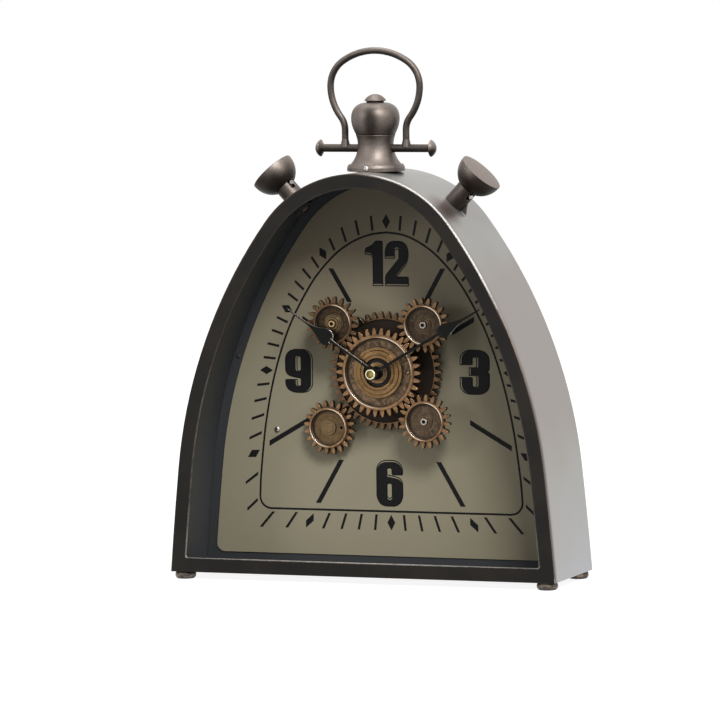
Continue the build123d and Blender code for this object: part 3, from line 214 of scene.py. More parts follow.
def between(shade, low, value, high):
    """Rises from zero to one as the value goes from low to high, easing at both ends."""
    settings = {"interpolation_type": "SMOOTHSTEP"}
    return shade.node("ShaderNodeMapRange", settings, {0: value, 1: low, 2: high, 3: 0.0, 4: 1.0})


def object_place(shade):
    """The point's place on the object, in metres."""
    return shade.node("ShaderNodeTexCoord", out="Object")


def axes(shade, vector):
    """The X, Y and Z of a vector."""
    return [shade.node("ShaderNodeSeparateXYZ", sockets={0: vector}, out=axis) for axis in "XYZ"]


def vector_sum(shade, operation, first, second=(0, 0, 0)):
    """One Vector Math node."""
    out = "Value" if operation in ("DOT_PRODUCT", "DISTANCE") else "Vector"
    return shade.node("ShaderNodeVectorMath", {"operation": operation}, {0: first, 1: second}, out=out)


def cloud(shade, place, scale, detail=4.0, roughness=0.55):
    """Cloudy noise; the scale is in features per metre."""
    sockets = {"Vector": place, "Scale": scale, "Detail": detail, "Roughness": roughness}
    return shade.node("ShaderNodeTexNoise", sockets=sockets, out="Fac")


def rounded_edges(shade, radius):
    """The normal as it would be with edges rounded to the radius."""
    return shade.node("ShaderNodeBevel", {"samples": 6}, {"Radius": radius})


def bumped(shade, surface, height, normal=None):
    """Raises the surface by a height in metres, from the given normal where there is one."""
    sockets = {"Height": height, "Distance": 1.0}
    if normal is not None:
        sockets["Normal"] = normal
    shade.feed(surface.inputs["Normal"], shade.node("ShaderNodeBump", sockets=sockets))


def dress(material, *nodes):
    """Gives CAD nodes their finish."""
    for node in nodes:
        slots = frame["nodes"][node].data.materials
        slots.clear()
        slots.append(material)


case_middle = (0, 0, 0.12)


def away_from_middle(shade, place, direction):
    """How far a direction points out of the arch, seen from the front: minus one is in, one is out."""
    spoke = vector_sum(shade, "MULTIPLY", vector_sum(shade, "SUBTRACT", place, case_middle), (1, 0, 1))
    return vector_sum(shade, "DOT_PRODUCT", direction, vector_sum(shade, "NORMALIZE", spoke))


paint_dark, paint_light = (0.0092, 0.0081, 0.0068), (0.0165, 0.0137, 0.0111)
bare_low, bare_side = (0.085, 0.058, 0.043), (0.42, 0.29, 0.22)
bare_and_lit_arch, bare_sole = (0.82, 0.78, 0.74), (0.62, 0.52, 0.46)
inner_high, inner_low_lit = (0.3, 0.26, 0.23), (0.6, 0.55, 0.5)
frame_round, frame_rub = 0.0007, 0.0022


def case_paint(name, worn_edges=False):
    """Brown-black sprayed paint, which on the front frame is worn through along the edges, with a painted
    highlight on the worn edge at the upper right and on the inner edge low down.
    """
    material, shade, surface = new_finish(name)
    place = object_place(shade)
    soft = rounded_edges(shade, frame_round)
    clouds = between(shade, 0.35, cloud(shade, place, 28, 5), 0.7)
    grain = cloud(shade, place, 1500, 2)
    colour = mixed(shade, clouds, paint_dark, paint_light)
    metal = 0.0
    if worn_edges:
        x, _, z = axes(shade, place)
        chips = between(shade, 0.32, cloud(shade, place, 170, 4), 0.55)
        wide = rounded_edges(shade, frame_rub)
        outer = between(shade, 0.3, away_from_middle(shade, place, soft), 0.7)
        broad = between(shade, 0.12, away_from_middle(shade, place, wide), 0.35)
        inner = between(shade, 0.35, 0 - away_from_middle(shade, place, wide), 0.68)
        right_half = between(shade, -0.004, x, 0.022)
        # The near white on the upper right of the arch's worn edge is partly bare metal, partly a painted
        # highlight.
        arch = between(shade, 0.165, z, 0.205) * (0.08 + right_half * 0.92)
        side = between(shade, 0.12, z, 0.17)
        low = 1 - between(shade, 0.02, z, 0.06)
        sole = (1 - between(shade, 0.0065, z, 0.009)) * between(shade, 0.0, x, 0.1)
        bare = mixed(shade, side, bare_low, bare_side)
        bare = mixed(shade, arch, bare, bare_and_lit_arch)
        bare = mixed(shade, sole, bare, bare_sole)
        outer = shade.sums("MAXIMUM", outer * (0.45 + chips * 0.35 + arch * 0.2), broad * arch)
        inner = inner * (0.3 + chips * 0.3 + low * 0.4) * (1 - side * 0.75)
        # The inner edge's lighter tone low down is a painted highlight on its rounded edge.
        colour = mixed(shade, inner, colour, mixed(shade, low, inner_high, inner_low_lit))
        colour = mixed(shade, outer, colour, bare)
        metal = outer * 0.9 + inner * 0.6
    shade.feed(surface.inputs["Base Color"], colour)
    shade.feed(surface.inputs["Metallic"], metal)
    shade.feed(surface.inputs["Roughness"], 0.38 + grain * 0.14)
    surface.inputs["Specular IOR Level"].default_value = 0.14
    bumped(shade, surface, grain * 0.00005, soft)
    return material


band_cool, band_warm, band_foot = (0.365, 0.357, 0.339), (0.347, 0.315, 0.292), (0.385, 0.388, 0.398)
band_sleeve_reflection, band_lap = (0.2, 0.125, 0.1), (0.1, 0.072, 0.057)
inside_low, inside_high = (0.064, 0.067, 0.071), (0.044, 0.046, 0.048)
lap_front, lap_back = -0.0379, -0.0325
# A brown patch on the band by the right pusher's sleeve is a painted reflection and shadow of the sleeve.
sleeve_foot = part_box("pusher_sleeve_right")[0]
sleeve_reflection_at = (sleeve_foot[0] + 0.007, sleeve_foot[1] - 0.016, sleeve_foot[2] + 0.003)
sleeve_reflection_core, sleeve_reflection_reach = 0.004, 0.019


def band_satin():
    """Satin grey outside, brown where the frame's paint laps over it low down, with a painted reflection
    and shadow of the right sleeve; dark paint inside, painted darker towards the top as shade.
    """
    material, shade, surface = new_finish("band_satin")
    place = object_place(shade)
    _, y, z = axes(shade, place)
    normal = shade.node("ShaderNodeNewGeometry", out="Normal")
    outside = away_from_middle(shade, place, normal) > -0.4
    zones = cloud(shade, place, 11, 2)
    drift = z + (zones - 0.5) * 0.12
    warm = between(shade, 0.05, drift, 0.1) * (1 - between(shade, 0.2, drift, 0.24))
    foot = 1 - between(shade, 0.02, drift, 0.07)
    grain = cloud(shade, place, 1200, 2)
    grey = mixed(shade, warm, band_cool, band_warm)
    grey = mixed(shade, foot, grey, band_foot)
    from_sleeve_reflection = vector_sum(shade, "DISTANCE", place, sleeve_reflection_at)
    sleeve_reflection = 1 - between(shade, sleeve_reflection_core, from_sleeve_reflection, sleeve_reflection_reach)
    grey = mixed(shade, sleeve_reflection * 0.75, grey, band_sleeve_reflection)
    low = 1 - between(shade, 0.1, z, 0.19)
    lap = (1 - between(shade, lap_front, y, lap_back)) * (0.25 + low * 0.75)
    grey = mixed(shade, lap, grey, band_lap)
    # Inside, the paint is darker towards the top: painted shade under the arch.
    dark = mixed(shade, between(shade, 0.04, z, 0.13), inside_low, inside_high)
    shade.feed(surface.inputs["Base Color"], mixed(shade, outside, dark, grey))
    shade.feed(surface.inputs["Metallic"], outside * (0.85 - lap * 0.5))
    shade.feed(surface.inputs["Roughness"], 0.38 + grain * 0.05)
    surface.inputs["Specular IOR Level"].default_value = 0.2
    bumped(shade, surface, grain * 0.00003)
    return material


foot_dark, foot_bronze_and_highlight = (0.03, 0.024, 0.019), (0.27, 0.21, 0.15)


def foot_paint():
    """The same brown black on the feet, with a bronze band round the middle of the bun: partly worn
    bronze, partly a painted highlight.
    """
    material, shade, surface = new_finish("foot_paint")
    place = object_place(shade)
    _, _, z = axes(shade, place)
    soft = rounded_edges(shade, 0.0006)
    clouds = cloud(shade, place, 260, 4)
    # The bronze band round the bun's middle is partly wear, partly a painted highlight.
    waist = between(shade, 0.0004, z, 0.002) * (1 - between(shade, 0.0025, z, 0.0045))
    lightened = waist * between(shade, 0.4, clouds, 0.65)
    shade.feed(surface.inputs["Base Color"], mixed(shade, lightened, foot_dark, foot_bronze_and_highlight))
    shade.feed(surface.inputs["Metallic"], lightened * 0.8)
    shade.feed(surface.inputs["Roughness"], 0.35 + clouds * 0.2)
    bumped(shade, surface, clouds * 0.00005, soft)
    return material


dress(case_paint("front_paint", worn_edges=True), "front_frame")
dress(band_satin(), "case_band")
dress(case_paint("base_paint"), "base_plate")
feet = [f"foot_{depth}_{side}" for depth in ("front", "back") for side in ("left", "right")]
dress(foot_paint(), *feet)


# The dial: a thin steel sheet in matt khaki paint, a little yellowed and clouded, with painted shade
# that makes it darker and browner to the top and the right. Round-headed screws hold it to a panel in
# dark blue-grey paint.
khaki_low, khaki_shaded_top = (0.302, 0.272, 0.189), (0.212, 0.176, 0.12)
khaki_shaded_right, khaki_cloud = (0.215, 0.19, 0.125), (0.22, 0.195, 0.135)
panel_dark, panel_light = (0.036, 0.038, 0.041), (0.046, 0.049, 0.052)


def dial_khaki():
    """Matt khaki paint, with painted shade darker and browner towards the top and the right."""
    material, shade, surface = new_finish("dial_khaki")
    place = object_place(shade)
    x, _, z = axes(shade, place)
    clouds = cloud(shade, place, 14, 4)
    speck = cloud(shade, place, 900, 3)
    # Painted shade: darker towards the top and to the right.
    high = between(shade, 0.12, z, 0.215)
    shaded_right = between(shade, 0.01, x, 0.08)
    khaki = mixed(shade, high * 0.8, khaki_low, khaki_shaded_top)
    khaki = mixed(shade, shaded_right * 0.4, khaki, khaki_shaded_right)
    khaki = mixed(shade, between(shade, 0.4, clouds, 0.75) * 0.3, khaki, khaki_cloud)
    shade.feed(surface.inputs["Base Color"], khaki)
    shade.feed(surface.inputs["Roughness"], 0.55 + speck * 0.15)
    surface.inputs["Specular IOR Level"].default_value = 0.25
    bumped(shade, surface, speck * 0.00003)
    return material


def panel_paint():
    """Dark blue-grey paint of the panel and of the fixings inside the case."""
    material, shade, surface = new_finish("panel_paint")
    grain = cloud(shade, object_place(shade), 700, 3)
    shade.feed(surface.inputs["Base Color"], mixed(shade, grain, panel_dark, panel_light))
    shade.feed(surface.inputs["Roughness"], 0.5 + grain * 0.2)
    surface.inputs["Specular IOR Level"].default_value = 0.2
    bumped(shade, surface, grain * 0.00004)
    return material


dress(dial_khaki(), "dial_plate")
dress(panel_paint(), "dial_backing", "panel_brackets", "panel_screws", "pusher_nuts", "crown_nut")


# The dial's print: a chapter line that follows the arch, minute strokes and hour diamonds outside
# it, hour bars inside, and block numerals with an outline set off to the middle. All in black ink.
ink_dark, ink_light = (0.004, 0.004, 0.0045), (0.009, 0.009, 0.0095)


def print_black():
    """Black ink with a slight grain."""
    material, shade, surface = new_finish("print_black")
    speck = cloud(shade, object_place(shade), 1400, 3)
    shade.feed(surface.inputs["Base Color"], mixed(shade, speck, ink_dark, ink_light))
    shade.feed(surface.inputs["Roughness"], 0.5 + speck * 0.2)
    surface.inputs["Specular IOR Level"].default_value = 0.12
    return material


ink = print_black()
dial_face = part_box("dial_plate")[0][1]
case_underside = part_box("foot_front_left")[1][2]
print_lift, line_flatten = 0.00004, 0.04


def pick(piece):
    """Selects one piece alone."""
    bpy.ops.object.select_all(action="DESELECT")
    piece.select_set(True)
    bpy.context.view_layer.objects.active = piece


def flat_piece(name, loops, fill, depth=0.0, rounding=0.0):
    """A flat mesh from closed loops in millimetres, filled or as a line, with its sides rounded."""
    curve = bpy.data.curves.new(name, "CURVE")
    curve.dimensions = "2D"
    curve.fill_mode = fill
    curve.extrude = depth
    curve.bevel_depth = rounding
    curve.bevel_resolution = 1
    curve.offset = 0 if fill == "NONE" else -rounding
    for loop in loops:
        spline = curve.splines.new("POLY")
        spline.points.add(len(loop) - 1)
        for point, (across, height) in zip(spline.points, loop):
            point.co = (across / 1000, height / 1000, 0, 1)
        spline.use_cyclic_u = True
    piece = bpy.data.objects.new(name, curve)
    bpy.context.collection.objects.link(piece)
    pick(piece)
    bpy.ops.object.convert(target="MESH")
    return bpy.context.object


def stood_up(piece, place, flatten=1.0):
    """Stands a flat piece up to face the front, at its place."""
    piece.scale.z = flatten
    piece.rotation_euler.x = pi / 2
    piece.location = place
    bpy.ops.object.transform_apply(location=True, rotation=True, scale=True)


def printed(name, loops, width=None):
    """A print on the dial from closed loops in millimetres: filled, or as a line of the given width."""
    if width is None:
        piece, flatten = flat_piece(name, loops, "FRONT"), 1.0
    else:
        piece, flatten = flat_piece(name, loops, "NONE", rounding=width / 2000), line_flatten
    stood_up(piece, (0, dial_face - print_lift, case_underside), flatten)
    piece.data.materials.append(ink)
    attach(piece, "case")


def eased(points, steps=6):
    """More points on a smooth line through the given ones, ends included."""
    ends = [points[0], *points, points[-1]]
    line = []
    for a, b, c, d in zip(ends, ends[1:], ends[2:], ends[3:]):
        for step in range(steps):
            t = step / steps
            line.append(tuple(
                0.5 * (
                    2 * q + (r - p) * t + (2 * p - 5 * q + 4 * r - s) * t**2
                    + (3 * q - p - 3 * r + s) * t**3
                )
                for p, q, r, s in zip(a, b, c, d)
            ))
    return [*line, points[-1]]


# All sizes of the print are in millimetres, and heights are measured from the case's underside.
chapter_top, chapter_side, chapter_low, corner_round, chapter_line = 224.3, 93.4, 45.5, 8, 1.35
right_chapter = eased([
    (0, chapter_top), (12.1, 222.5), (25.0, 216.5), (37.6, 206.6), (52.6, 188.7), (68.2, 160.3),
    (79.5, 128.9), (87.1, 96.3), (91.9, 63.2), (chapter_side, chapter_low),
])
left_chapter = eased([
    (0, chapter_top), (-12.1, 222.7), (-25.4, 217.5), (-38.9, 207.8), (-54.4, 189.8), (-70.4, 161.1),
    (-81.4, 129.3), (-88.3, 96.5), (-92.3, 63.2), (-chapter_side, chapter_low),
])
corner_middle = chapter_side - corner_round
low_corner = [
    (corner_middle + corner_round * cos(radians(turn)), chapter_low + corner_round * sin(radians(turn)))
    for turn in range(-15, -91, -15)
]
chapter = right_chapter + low_corner + [(-x, z) for x, z in reversed(low_corner)] + left_chapter[:0:-1]
printed("print_chapter_line", [chapter], width=chapter_line)

dial_middle = Vector((0, 131.3))


def chapter_at(hour_angle):
    """Where a ray from the dial's middle meets the chapter line, the ray, and the line's way."""
    ray = Vector((sin(hour_angle), cos(hour_angle)))
    for a, b in zip(chapter, chapter[1:] + chapter[:1]):
        p, q = Vector(a) - dial_middle, Vector(b) - dial_middle
        side_p, side_q = ray.cross(p), ray.cross(q)
        if side_p * side_q <= 0 and side_p != side_q and ray.dot(p) > 0:
            meet = p + (q - p) * side_p / (side_p - side_q)
            return dial_middle + meet, ray, (q - p).normalized()


strokes, diamonds = [], []
stroke_near, stroke_half = 2.2, 0.84
foot_far, top_far, side_far = 12.8, 12.1, 10.7
foot_diamond, top_diamond, side_diamond = (7.6, 5.3), (7.3, 5.0), (6.4, 4.6)
diamond_width, diamond_turn = 2.8, -0.3
# How many degrees the first and last stroke after each hour stand clockwise of their true place.
stroke_turn = {
    0: (-0.57, -0.09), 1: (-1.46, -1.05), 2: (-1.1, -0.42), 3: (-0.74, 0.32),
    4: (0.21, 1.07), 5: (-0.38, 0.3), 6: (-0.05, 0.4), 7: (-0.98, -0.59),
    8: (-0.92, -0.35), 9: (-0.72, -0.01), 10: (-0.16, 0.57), 11: (-0.88, -0.22),
}
for minute in range(60):
    hour, step = divmod(minute, 5)
    first, last = stroke_turn[hour]
    turn = first + (last - first) * (step - 1) / 3 if step else diamond_turn
    meet, ray, along = chapter_at(radians(6 * minute + turn))
    slant = abs(ray.cross(along))
    at_foot, at_top = 22 < minute < 38, minute < 4 or minute > 56
    if step:
        far_end = foot_far if at_foot else top_far if at_top else side_far
        near, far = meet + ray * stroke_near / slant, meet + ray * far_end / slant
        side = along * stroke_half / slant
        points = (near - side, far - side, far + side, near + side)
        strokes.append([tuple(point) for point in points])
    else:
        reach, half = foot_diamond if at_foot else top_diamond if at_top else side_diamond
        middle = meet + ray * reach / slant
        across = along if at_foot else Vector((ray.y, -ray.x))
        tip, side = ray * half / slant**0.5, across * diamond_width
        points = (middle + tip, middle + side, middle - tip, middle - side)
        diamonds.append([tuple(point) for point in points])
printed("print_minute_strokes", strokes)
printed("print_hour_diamonds", diamonds)

bars = []
bar_reach = {1: (53.6, 79.6), 2: (52.5, 70.5), 4: (66.0, 99.6), 5: (69.1, 103.2)}
bar_half, upper_lean, lower_lean = 1.55, -0.5, -0.05
for hour, (near, far) in bar_reach.items():
    lean = upper_lean if hour < 3 else lower_lean
    for turn in (radians(30 * hour + lean), radians(360 - 30 * hour + lean)):
        ray = Vector((sin(turn), cos(turn)))
        across = Vector((ray.y, -ray.x))
        # The ends are cut level on the steep bars and upright on the flat ones.
        skew = across.y / ray.y if hour in (1, 5) else across.x / ray.x
        bars.append([
            tuple(dial_middle + ray * (end - skew * edge) + across * edge)
            for end, edge in ((near, -bar_half), (far, -bar_half), (far, bar_half), (near, bar_half))
        ])
printed("print_hour_bars", bars)


def rounded(corners, steps=6):
    """Loop through (x, z, radius) corners, each turned by an arc."""
    sharp, straight = 0.01, 1.56
    loop = []
    for before, (x, z, radius), after in zip(corners[-1:] + corners, corners, corners[1:] + corners[:1]):
        here = Vector((x, z))
        to_before = (Vector(before[:2]) - here).normalized()
        to_after = (Vector(after[:2]) - here).normalized()
        half = to_before.angle(to_after) / 2
        if radius < sharp or half > straight:
            loop.append((x, z))
            continue
        reach = radius * cos(half) / sin(half)
        middle = here + (to_before + to_after).normalized() * radius / sin(half)
        first, last = here + to_before * reach - middle, here + to_after * reach - middle
        sweep = first.angle_signed(last)
        for step in range(steps + 1):
            spoke = first.copy()
            spoke.rotate(Matrix.Rotation(-sweep * step / steps, 2))
            loop.append(tuple(middle + spoke))
    return loop


six_outline = [
    (0, 0, 6.6), (17.6, 0, 6.6), (17.6, 17.6, 5.2), (7.0, 19.6, 0.2), (7.0, 24.8, 1.6),
    (10.4, 24.8, 1.6), (10.4, 20.4, 0.2), (17.6, 20.4, 0.2), (17.6, 29, 6.6), (0, 29, 6.6),
]
six_eye = [(7.0, 4.4, 1.6), (10.4, 4.4, 1.6), (10.4, 14.8, 1.6), (7.0, 14.8, 1.6)]
three_outline = [
    (0, 0, 6.4), (17.6, 0, 6.4), (17.6, 13.7, 2), (16.5, 14.9, 0.3), (17.6, 16.1, 2),
    (17.6, 29, 6.4), (0, 29, 6.4), (0, 19.4, 0.2), (7.0, 19.4, 0.2), (7.0, 24.6, 1.6),
    (10.4, 24.6, 1.6), (10.4, 17.4, 1.2), (5.6, 17.4, 0.2), (5.6, 12.4, 0.2), (10.4, 12.4, 1.2),
    (10.4, 4.6, 1.6), (7.0, 4.6, 1.6), (7.0, 11.0, 0.2), (0, 11.0, 0.2),
]
one_outline = [
    (5.4, 0, 0), (12.2, 0, 0), (12.2, 29, 0), (7.4, 29, 0), (4.4, 26.0, 2),
    (0, 24.0, 0), (0, 21.0, 0), (3.6, 20.6, 1), (5.4, 18.6, 1),
]
two_outline = [
    (0, 0, 0), (16.6, 0, 0), (16.6, 5.2, 0), (7.4, 5.2, 0.4), (15.2, 14.6, 4),
    (16.6, 19, 4), (16.6, 29, 6.4), (0, 29, 6.4), (0, 18.4, 0.2), (6.7, 18.4, 0.2),
    (6.7, 24.6, 1.6), (10, 24.6, 1.6), (10, 17.6, 2.5), (0, 6.2, 3),
]
block_width, block_height = 17.6, 29
two_width, two_step = 0.98, 14.1
six = [rounded(six_outline), rounded(six_eye)]
nine = [[(block_width - x, block_height - z) for x, z in loop] for loop in six]
twelve = [rounded(one_outline), [(x * two_width + two_step, z) for x, z in rounded(two_outline)]]
# Each numeral's loops, its widening and heightening, its lower left corner and its outline's way.
numerals = {
    "twelve": (twelve, (1, 1), (-15.6, 189.8), (0, -1)),
    "three": ([rounded(three_outline)], (1.13, 1.015), (51.6, 117.2), (-1, 0)),
    "six": (six, (1.05, 1.035), (-9.5, 40.7), (0, 1)),
    "nine": (nine, (1.06, 1), (-74.2, 116.2), (1, 0)),
}
outline_drop, outline_width = 1.05, 0.7
for numeral, (loops, (wider, taller), (left, low), (way_x, way_z)) in numerals.items():
    placed = [[(x * wider + left, z * taller + low) for x, z in loop] for loop in loops]
    dropped = [[(x + way_x * outline_drop, z + way_z * outline_drop) for x, z in loop] for loop in placed]
    printed(f"print_numeral_{numeral}", placed)
    printed(f"print_numeral_{numeral}_outline", dropped, width=outline_width)


# The gear train: cast bronze gears with raised rims. The dropped webs are hammered and dark, dirt and
# painted shade lie between the teeth, and rims and tooth faces are rubbed bright, with painted
# highlights in arcs on the rims' inner lips and a painted shadow in the webs under the rims. The
# upper idlers and the back gear are darkened as painted shade. Plain posts carry the idlers.
def near_edge(shade, soft):
    """How near an edge the point is, by how far the rounded normal leans from the true one."""
    flat = shade.node("ShaderNodeNewGeometry", out="Normal")
    return between(shade, 0.03, 1 - vector_sum(shade, "DOT_PRODUCT", soft, flat), 0.3)


def open_to_air(shade, depth):
    """One on open faces, and less in corners and hollows of about this depth."""
    settings = {"samples": 8, "only_local": True}
    return shade.node("ShaderNodeAmbientOcclusion", settings, {"Distance": depth}, out="AO")


def from_axle(shade, place, node):
    """How far right of, above and away from the axis of a turned node the point is."""
    low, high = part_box(node)
    x, _, z = axes(shade, place)
    across, up = x - (low[0] + high[0]) / 2, z - (low[2] + high[2]) / 2
    return across, up, shade.sums("SQRT", across * across + up * up)


def toned(colour, factor):
    """A colour made darker or lighter by a factor."""
    return tuple(part * factor for part in colour)


# The back gear's bronze is darker, as painted shade where it lies behind the other gears.
bronze, back_bronze_shaded = (0.245, 0.138, 0.068), (0.12, 0.071, 0.038)
bronze_edge, lip_highlight, boss_gold = (0.5, 0.36, 0.22), (0.85, 0.7, 0.54), (0.4, 0.27, 0.13)
groove_and_shadow_dark, gear_dirt_and_shade = (0.016, 0.0105, 0.007), (0.014, 0.0095, 0.0065)
well_black, turning_pitch = (0.004, 0.003, 0.0025), 0.0011
# Radii of the boss and of the dark ring at its foot, and how far the painted rim shadow and the lip lie
# from the rim.
boss_inner, boss_outer = 0.0064, 0.0068
ring_starts, ring_full, ring_fades, ring_ends = 0.0041, 0.0046, 0.0048, 0.0053
rim_shadow_far, rim_shadow_near, lip_near, lip_far = 0.0026, 0.0012, 0.0003, 0.0008


def gear_bronze(name, axle, rim, metal, web_tones, dents, well=0.0, boss_shine=0.15):
    """Bronze of a gear on an axle: a dented web inside the rim, black in the well round the axle, with
    painted highlight arcs on the rim's lip, a painted shadow under the rim, and grime with painted shade
    on the sides of the teeth and in hollows.
    """
    material, shade, surface = new_finish(name)
    place = object_place(shade)
    soft = rounded_edges(shade, 0.0006)
    open_air = open_to_air(shade, 0.0035)
    clouds = cloud(shade, place, 240, 5)
    grit = cloud(shade, place, 1600, 3)
    hammer = cloud(shade, place, 800, 5, 0.65)
    across, up, reach = from_axle(shade, place, axle)
    inner, outer = rim
    web = 1 - between(shade, inner - 0.0003, reach, inner)
    boss = 1 - between(shade, boss_inner, reach, boss_outer)
    boss_foot = between(shade, ring_starts, reach, ring_full)
    boss_foot = boss_foot * (1 - between(shade, ring_fades, reach, ring_ends))
    lip = (1 - web) * (1 - between(shade, inner + lip_near, reach, inner + lip_far))
    # Painted highlight: bright arcs on the rim's inner lip, at the lower left and the upper right.
    painted_lip_highlight = between(shade, 0.85, shade.sums("ABSOLUTE", (across + up) / reach), 1.38)
    # Painted shadow: a dark ring in the web under the rim, stronger at the upper left.
    rim_shadow = web * between(shade, inner - rim_shadow_far, reach, inner - rim_shadow_near)
    rim_shadow = rim_shadow * (0.35 + between(shade, -0.9, (up - across) / reach, 0.9) * 0.65)
    turned_rings = shade.sums("SINE", reach * (2 * pi / turning_pitch))
    colour = mixed(shade, between(shade, 0.38, clouds, 0.66), metal, toned(metal, 0.62))
    blotch = hammer * 0.55 + clouds * 0.45
    colour = mixed(shade, web, colour, mixed(shade, between(shade, 0.39, blotch, 0.62), *web_tones))
    colour = mixed(shade, shade.sums("MAXIMUM", rim_shadow, boss_foot * 0.6) * 0.8, colour, groove_and_shadow_dark)
    lightened = near_edge(shade, soft) * between(shade, 0.6, open_air, 0.9)
    colour = mixed(shade, lightened * 0.4, colour, bronze_edge)
    colour = mixed(shade, lip * painted_lip_highlight * between(shade, 0.35, open_air, 0.75) * 0.9, colour, lip_highlight)
    colour = mixed(shade, boss * between(shade, -0.3, turned_rings, 0.8) * boss_shine, colour, boss_gold)
    # Painted shade: the sides of the teeth are darkened, and dirt with painted shade fills corners and
    # hollows.
    _, forward, _ = axes(shade, shade.node("ShaderNodeTexCoord", out="Normal"))
    shaded_flank = 1 - between(shade, 0.3, shade.sums("ABSOLUTE", forward), 0.7)
    shaded_flank = shaded_flank * between(shade, outer, reach, outer + 0.0004)
    dirt_and_shade = shade.sums("MAXIMUM", 1 - between(shade, 0.25, open_air, 0.92), shaded_flank * 0.75)
    colour = mixed(shade, dirt_and_shade * 0.9, colour, gear_dirt_and_shade)
    black = 1 - between(shade, well - 0.0004, reach, well + 0.0001)
    colour = mixed(shade, black, colour, well_black)
    dirt_and_shade = shade.sums("MAXIMUM", dirt_and_shade, black)
    shade.feed(surface.inputs["Base Color"], colour)
    shade.feed(surface.inputs["Metallic"], 0.92 - dirt_and_shade * 0.4)
    shade.feed(surface.inputs["Roughness"], 0.2 + clouds * 0.1 + dirt_and_shade * 0.25 + web * 0.06 - lip * 0.1)
    bumped(shade, surface, grit * 0.00004 + web * (hammer * dents + turned_rings * 0.000015), soft)
    return material


# The inner and outer radius of each kind of rim, then each web's dark and light tone.
small_rim, large_rim, back_rim = (0.0122, 0.0135), (0.0233, 0.025), (0.001, 0.0345)
centre_web = ((0.042, 0.027, 0.015), (0.16, 0.107, 0.063))
drive_web = ((0.074, 0.047, 0.022), (0.12, 0.077, 0.038))
# The back gear's web tones are darkened as painted shade.
back_web_shaded = ((0.03, 0.02, 0.013), (0.06, 0.038, 0.022))
idler_dents, centre_dents, drive_dents, back_dents = 0.00012, 0.0002, 0.00004, 0.0001
centre_well, drive_shine = 0.0102, 0.35
# Each idler's share of the bronze colour, the shine of its boss, and its web's two tones; the share and
# the web tones are lower on the upper idlers as painted shade.
idler_tones = {
    "upper_left": (0.45, 0.4, ((0.019, 0.0122, 0.0065), (0.055, 0.035, 0.0175))),
    "upper_right": (0.7, 0.15, ((0.026, 0.0175, 0.0115), (0.058, 0.04, 0.026))),
    "lower_right": (0.88, 0.15, ((0.046, 0.031, 0.02), (0.095, 0.066, 0.043))),
}
for corner, (shaded_share, shine, web_tones) in idler_tones.items():
    finish = gear_bronze(
        f"idler_bronze_{corner}", f"idler_post_{corner}", small_rim, toned(bronze, shaded_share), web_tones,
        idler_dents, boss_shine=shine,
    )
    dress(finish, f"idler_gear_{corner}")
finish = gear_bronze(
    "centre_gear_bronze", "hand_nut", large_rim, bronze, centre_web, centre_dents, well=centre_well,
)
dress(finish, "centre_gear")
finish = gear_bronze(
    "drive_gear_bronze", "drive_shaft", small_rim, bronze, drive_web, drive_dents, boss_shine=drive_shine,
)
dress(finish, "drive_gear")
finish = gear_bronze("back_gear_bronze", "hand_nut", back_rim, back_bronze_shaded, back_web_shaded, back_dents)
dress(finish, "back_gear", "gear_hub")

plate_dark, plate_light = (0.012, 0.0085, 0.006), (0.034, 0.024, 0.017)


def web_dark():
    """The back gear's web plate, blackened and rough."""
    material, shade, surface = new_finish("web_dark")
    grit = cloud(shade, object_place(shade), 900, 4)
    shade.feed(surface.inputs["Base Color"], mixed(shade, grit, plate_dark, plate_light))
    shade.feed(surface.inputs["Roughness"], 0.5 + grit * 0.2)
    surface.inputs["Metallic"].default_value = 0.4
    surface.inputs["Specular IOR Level"].default_value = 0.15
    bumped(shade, surface, grit * 0.00015)
    return material


dress(web_dark(), "back_gear_web")

disc_gold, disc_worn, disc_pitch = (0.19, 0.113, 0.05), (0.115, 0.068, 0.032), 0.0007
collar_copper, collar_worn, collar_pitch = (0.19, 0.118, 0.06), (0.11, 0.066, 0.034), 0.0005
turned_dirt_and_shade = (0.022, 0.0145, 0.008)


def turned_metal(name, colour, worn, ring_pitch):
    """Metal turned on a lathe: fine rings about the dial's axis, tarnish, and grime with painted shade in
    the grooves.
    """
    material, shade, surface = new_finish(name)
    place = object_place(shade)
    soft = rounded_edges(shade, 0.0004)
    _, _, reach = from_axle(shade, place, "hand_nut")
    rings = shade.sums("SINE", reach * (2 * pi / ring_pitch))
    tarnish = between(shade, 0.42, cloud(shade, place, 300, 4), 0.7)
    tone = mixed(shade, tarnish * 0.8, colour, worn)
    tone = mixed(shade, near_edge(shade, soft) * 0.4, tone, toned(colour, 1.9))
    # Dirt with painted shade in the grooves and corners.
    dirt_and_shade = 1 - between(shade, 0.2, open_to_air(shade, 0.002), 0.85)
    shade.feed(surface.inputs["Base Color"], mixed(shade, dirt_and_shade * 0.6, tone, turned_dirt_and_shade))
    shade.feed(surface.inputs["Roughness"], 0.24 + tarnish * 0.14)
    surface.inputs["Metallic"].default_value = 1
    bumped(shade, surface, rings * 0.00002, soft)
    return material


dress(turned_metal("disc_gold", disc_gold, disc_worn, disc_pitch), "centre_disc")
dress(
    turned_metal("collar_copper", collar_copper, collar_worn, collar_pitch),
    "retaining_collar", "cluster_rivet", "centre_bush",
)

post_bore, nut_bore, screw_bore = 0.0012, 0.0025, 0.0005
post_tones = {
    "upper_left": (0.42, 0.29, 0.15),
    "upper_right": (0.34, 0.3, 0.26),
    "lower_right": (0.4, 0.36, 0.31),
}
nut_brass, nut_bore_shade, screw_steel = (0.78, 0.72, 0.5), (0.19, 0.145, 0.04), (0.42, 0.38, 0.34)
hole_shade_dark = (0.012, 0.009, 0.007)


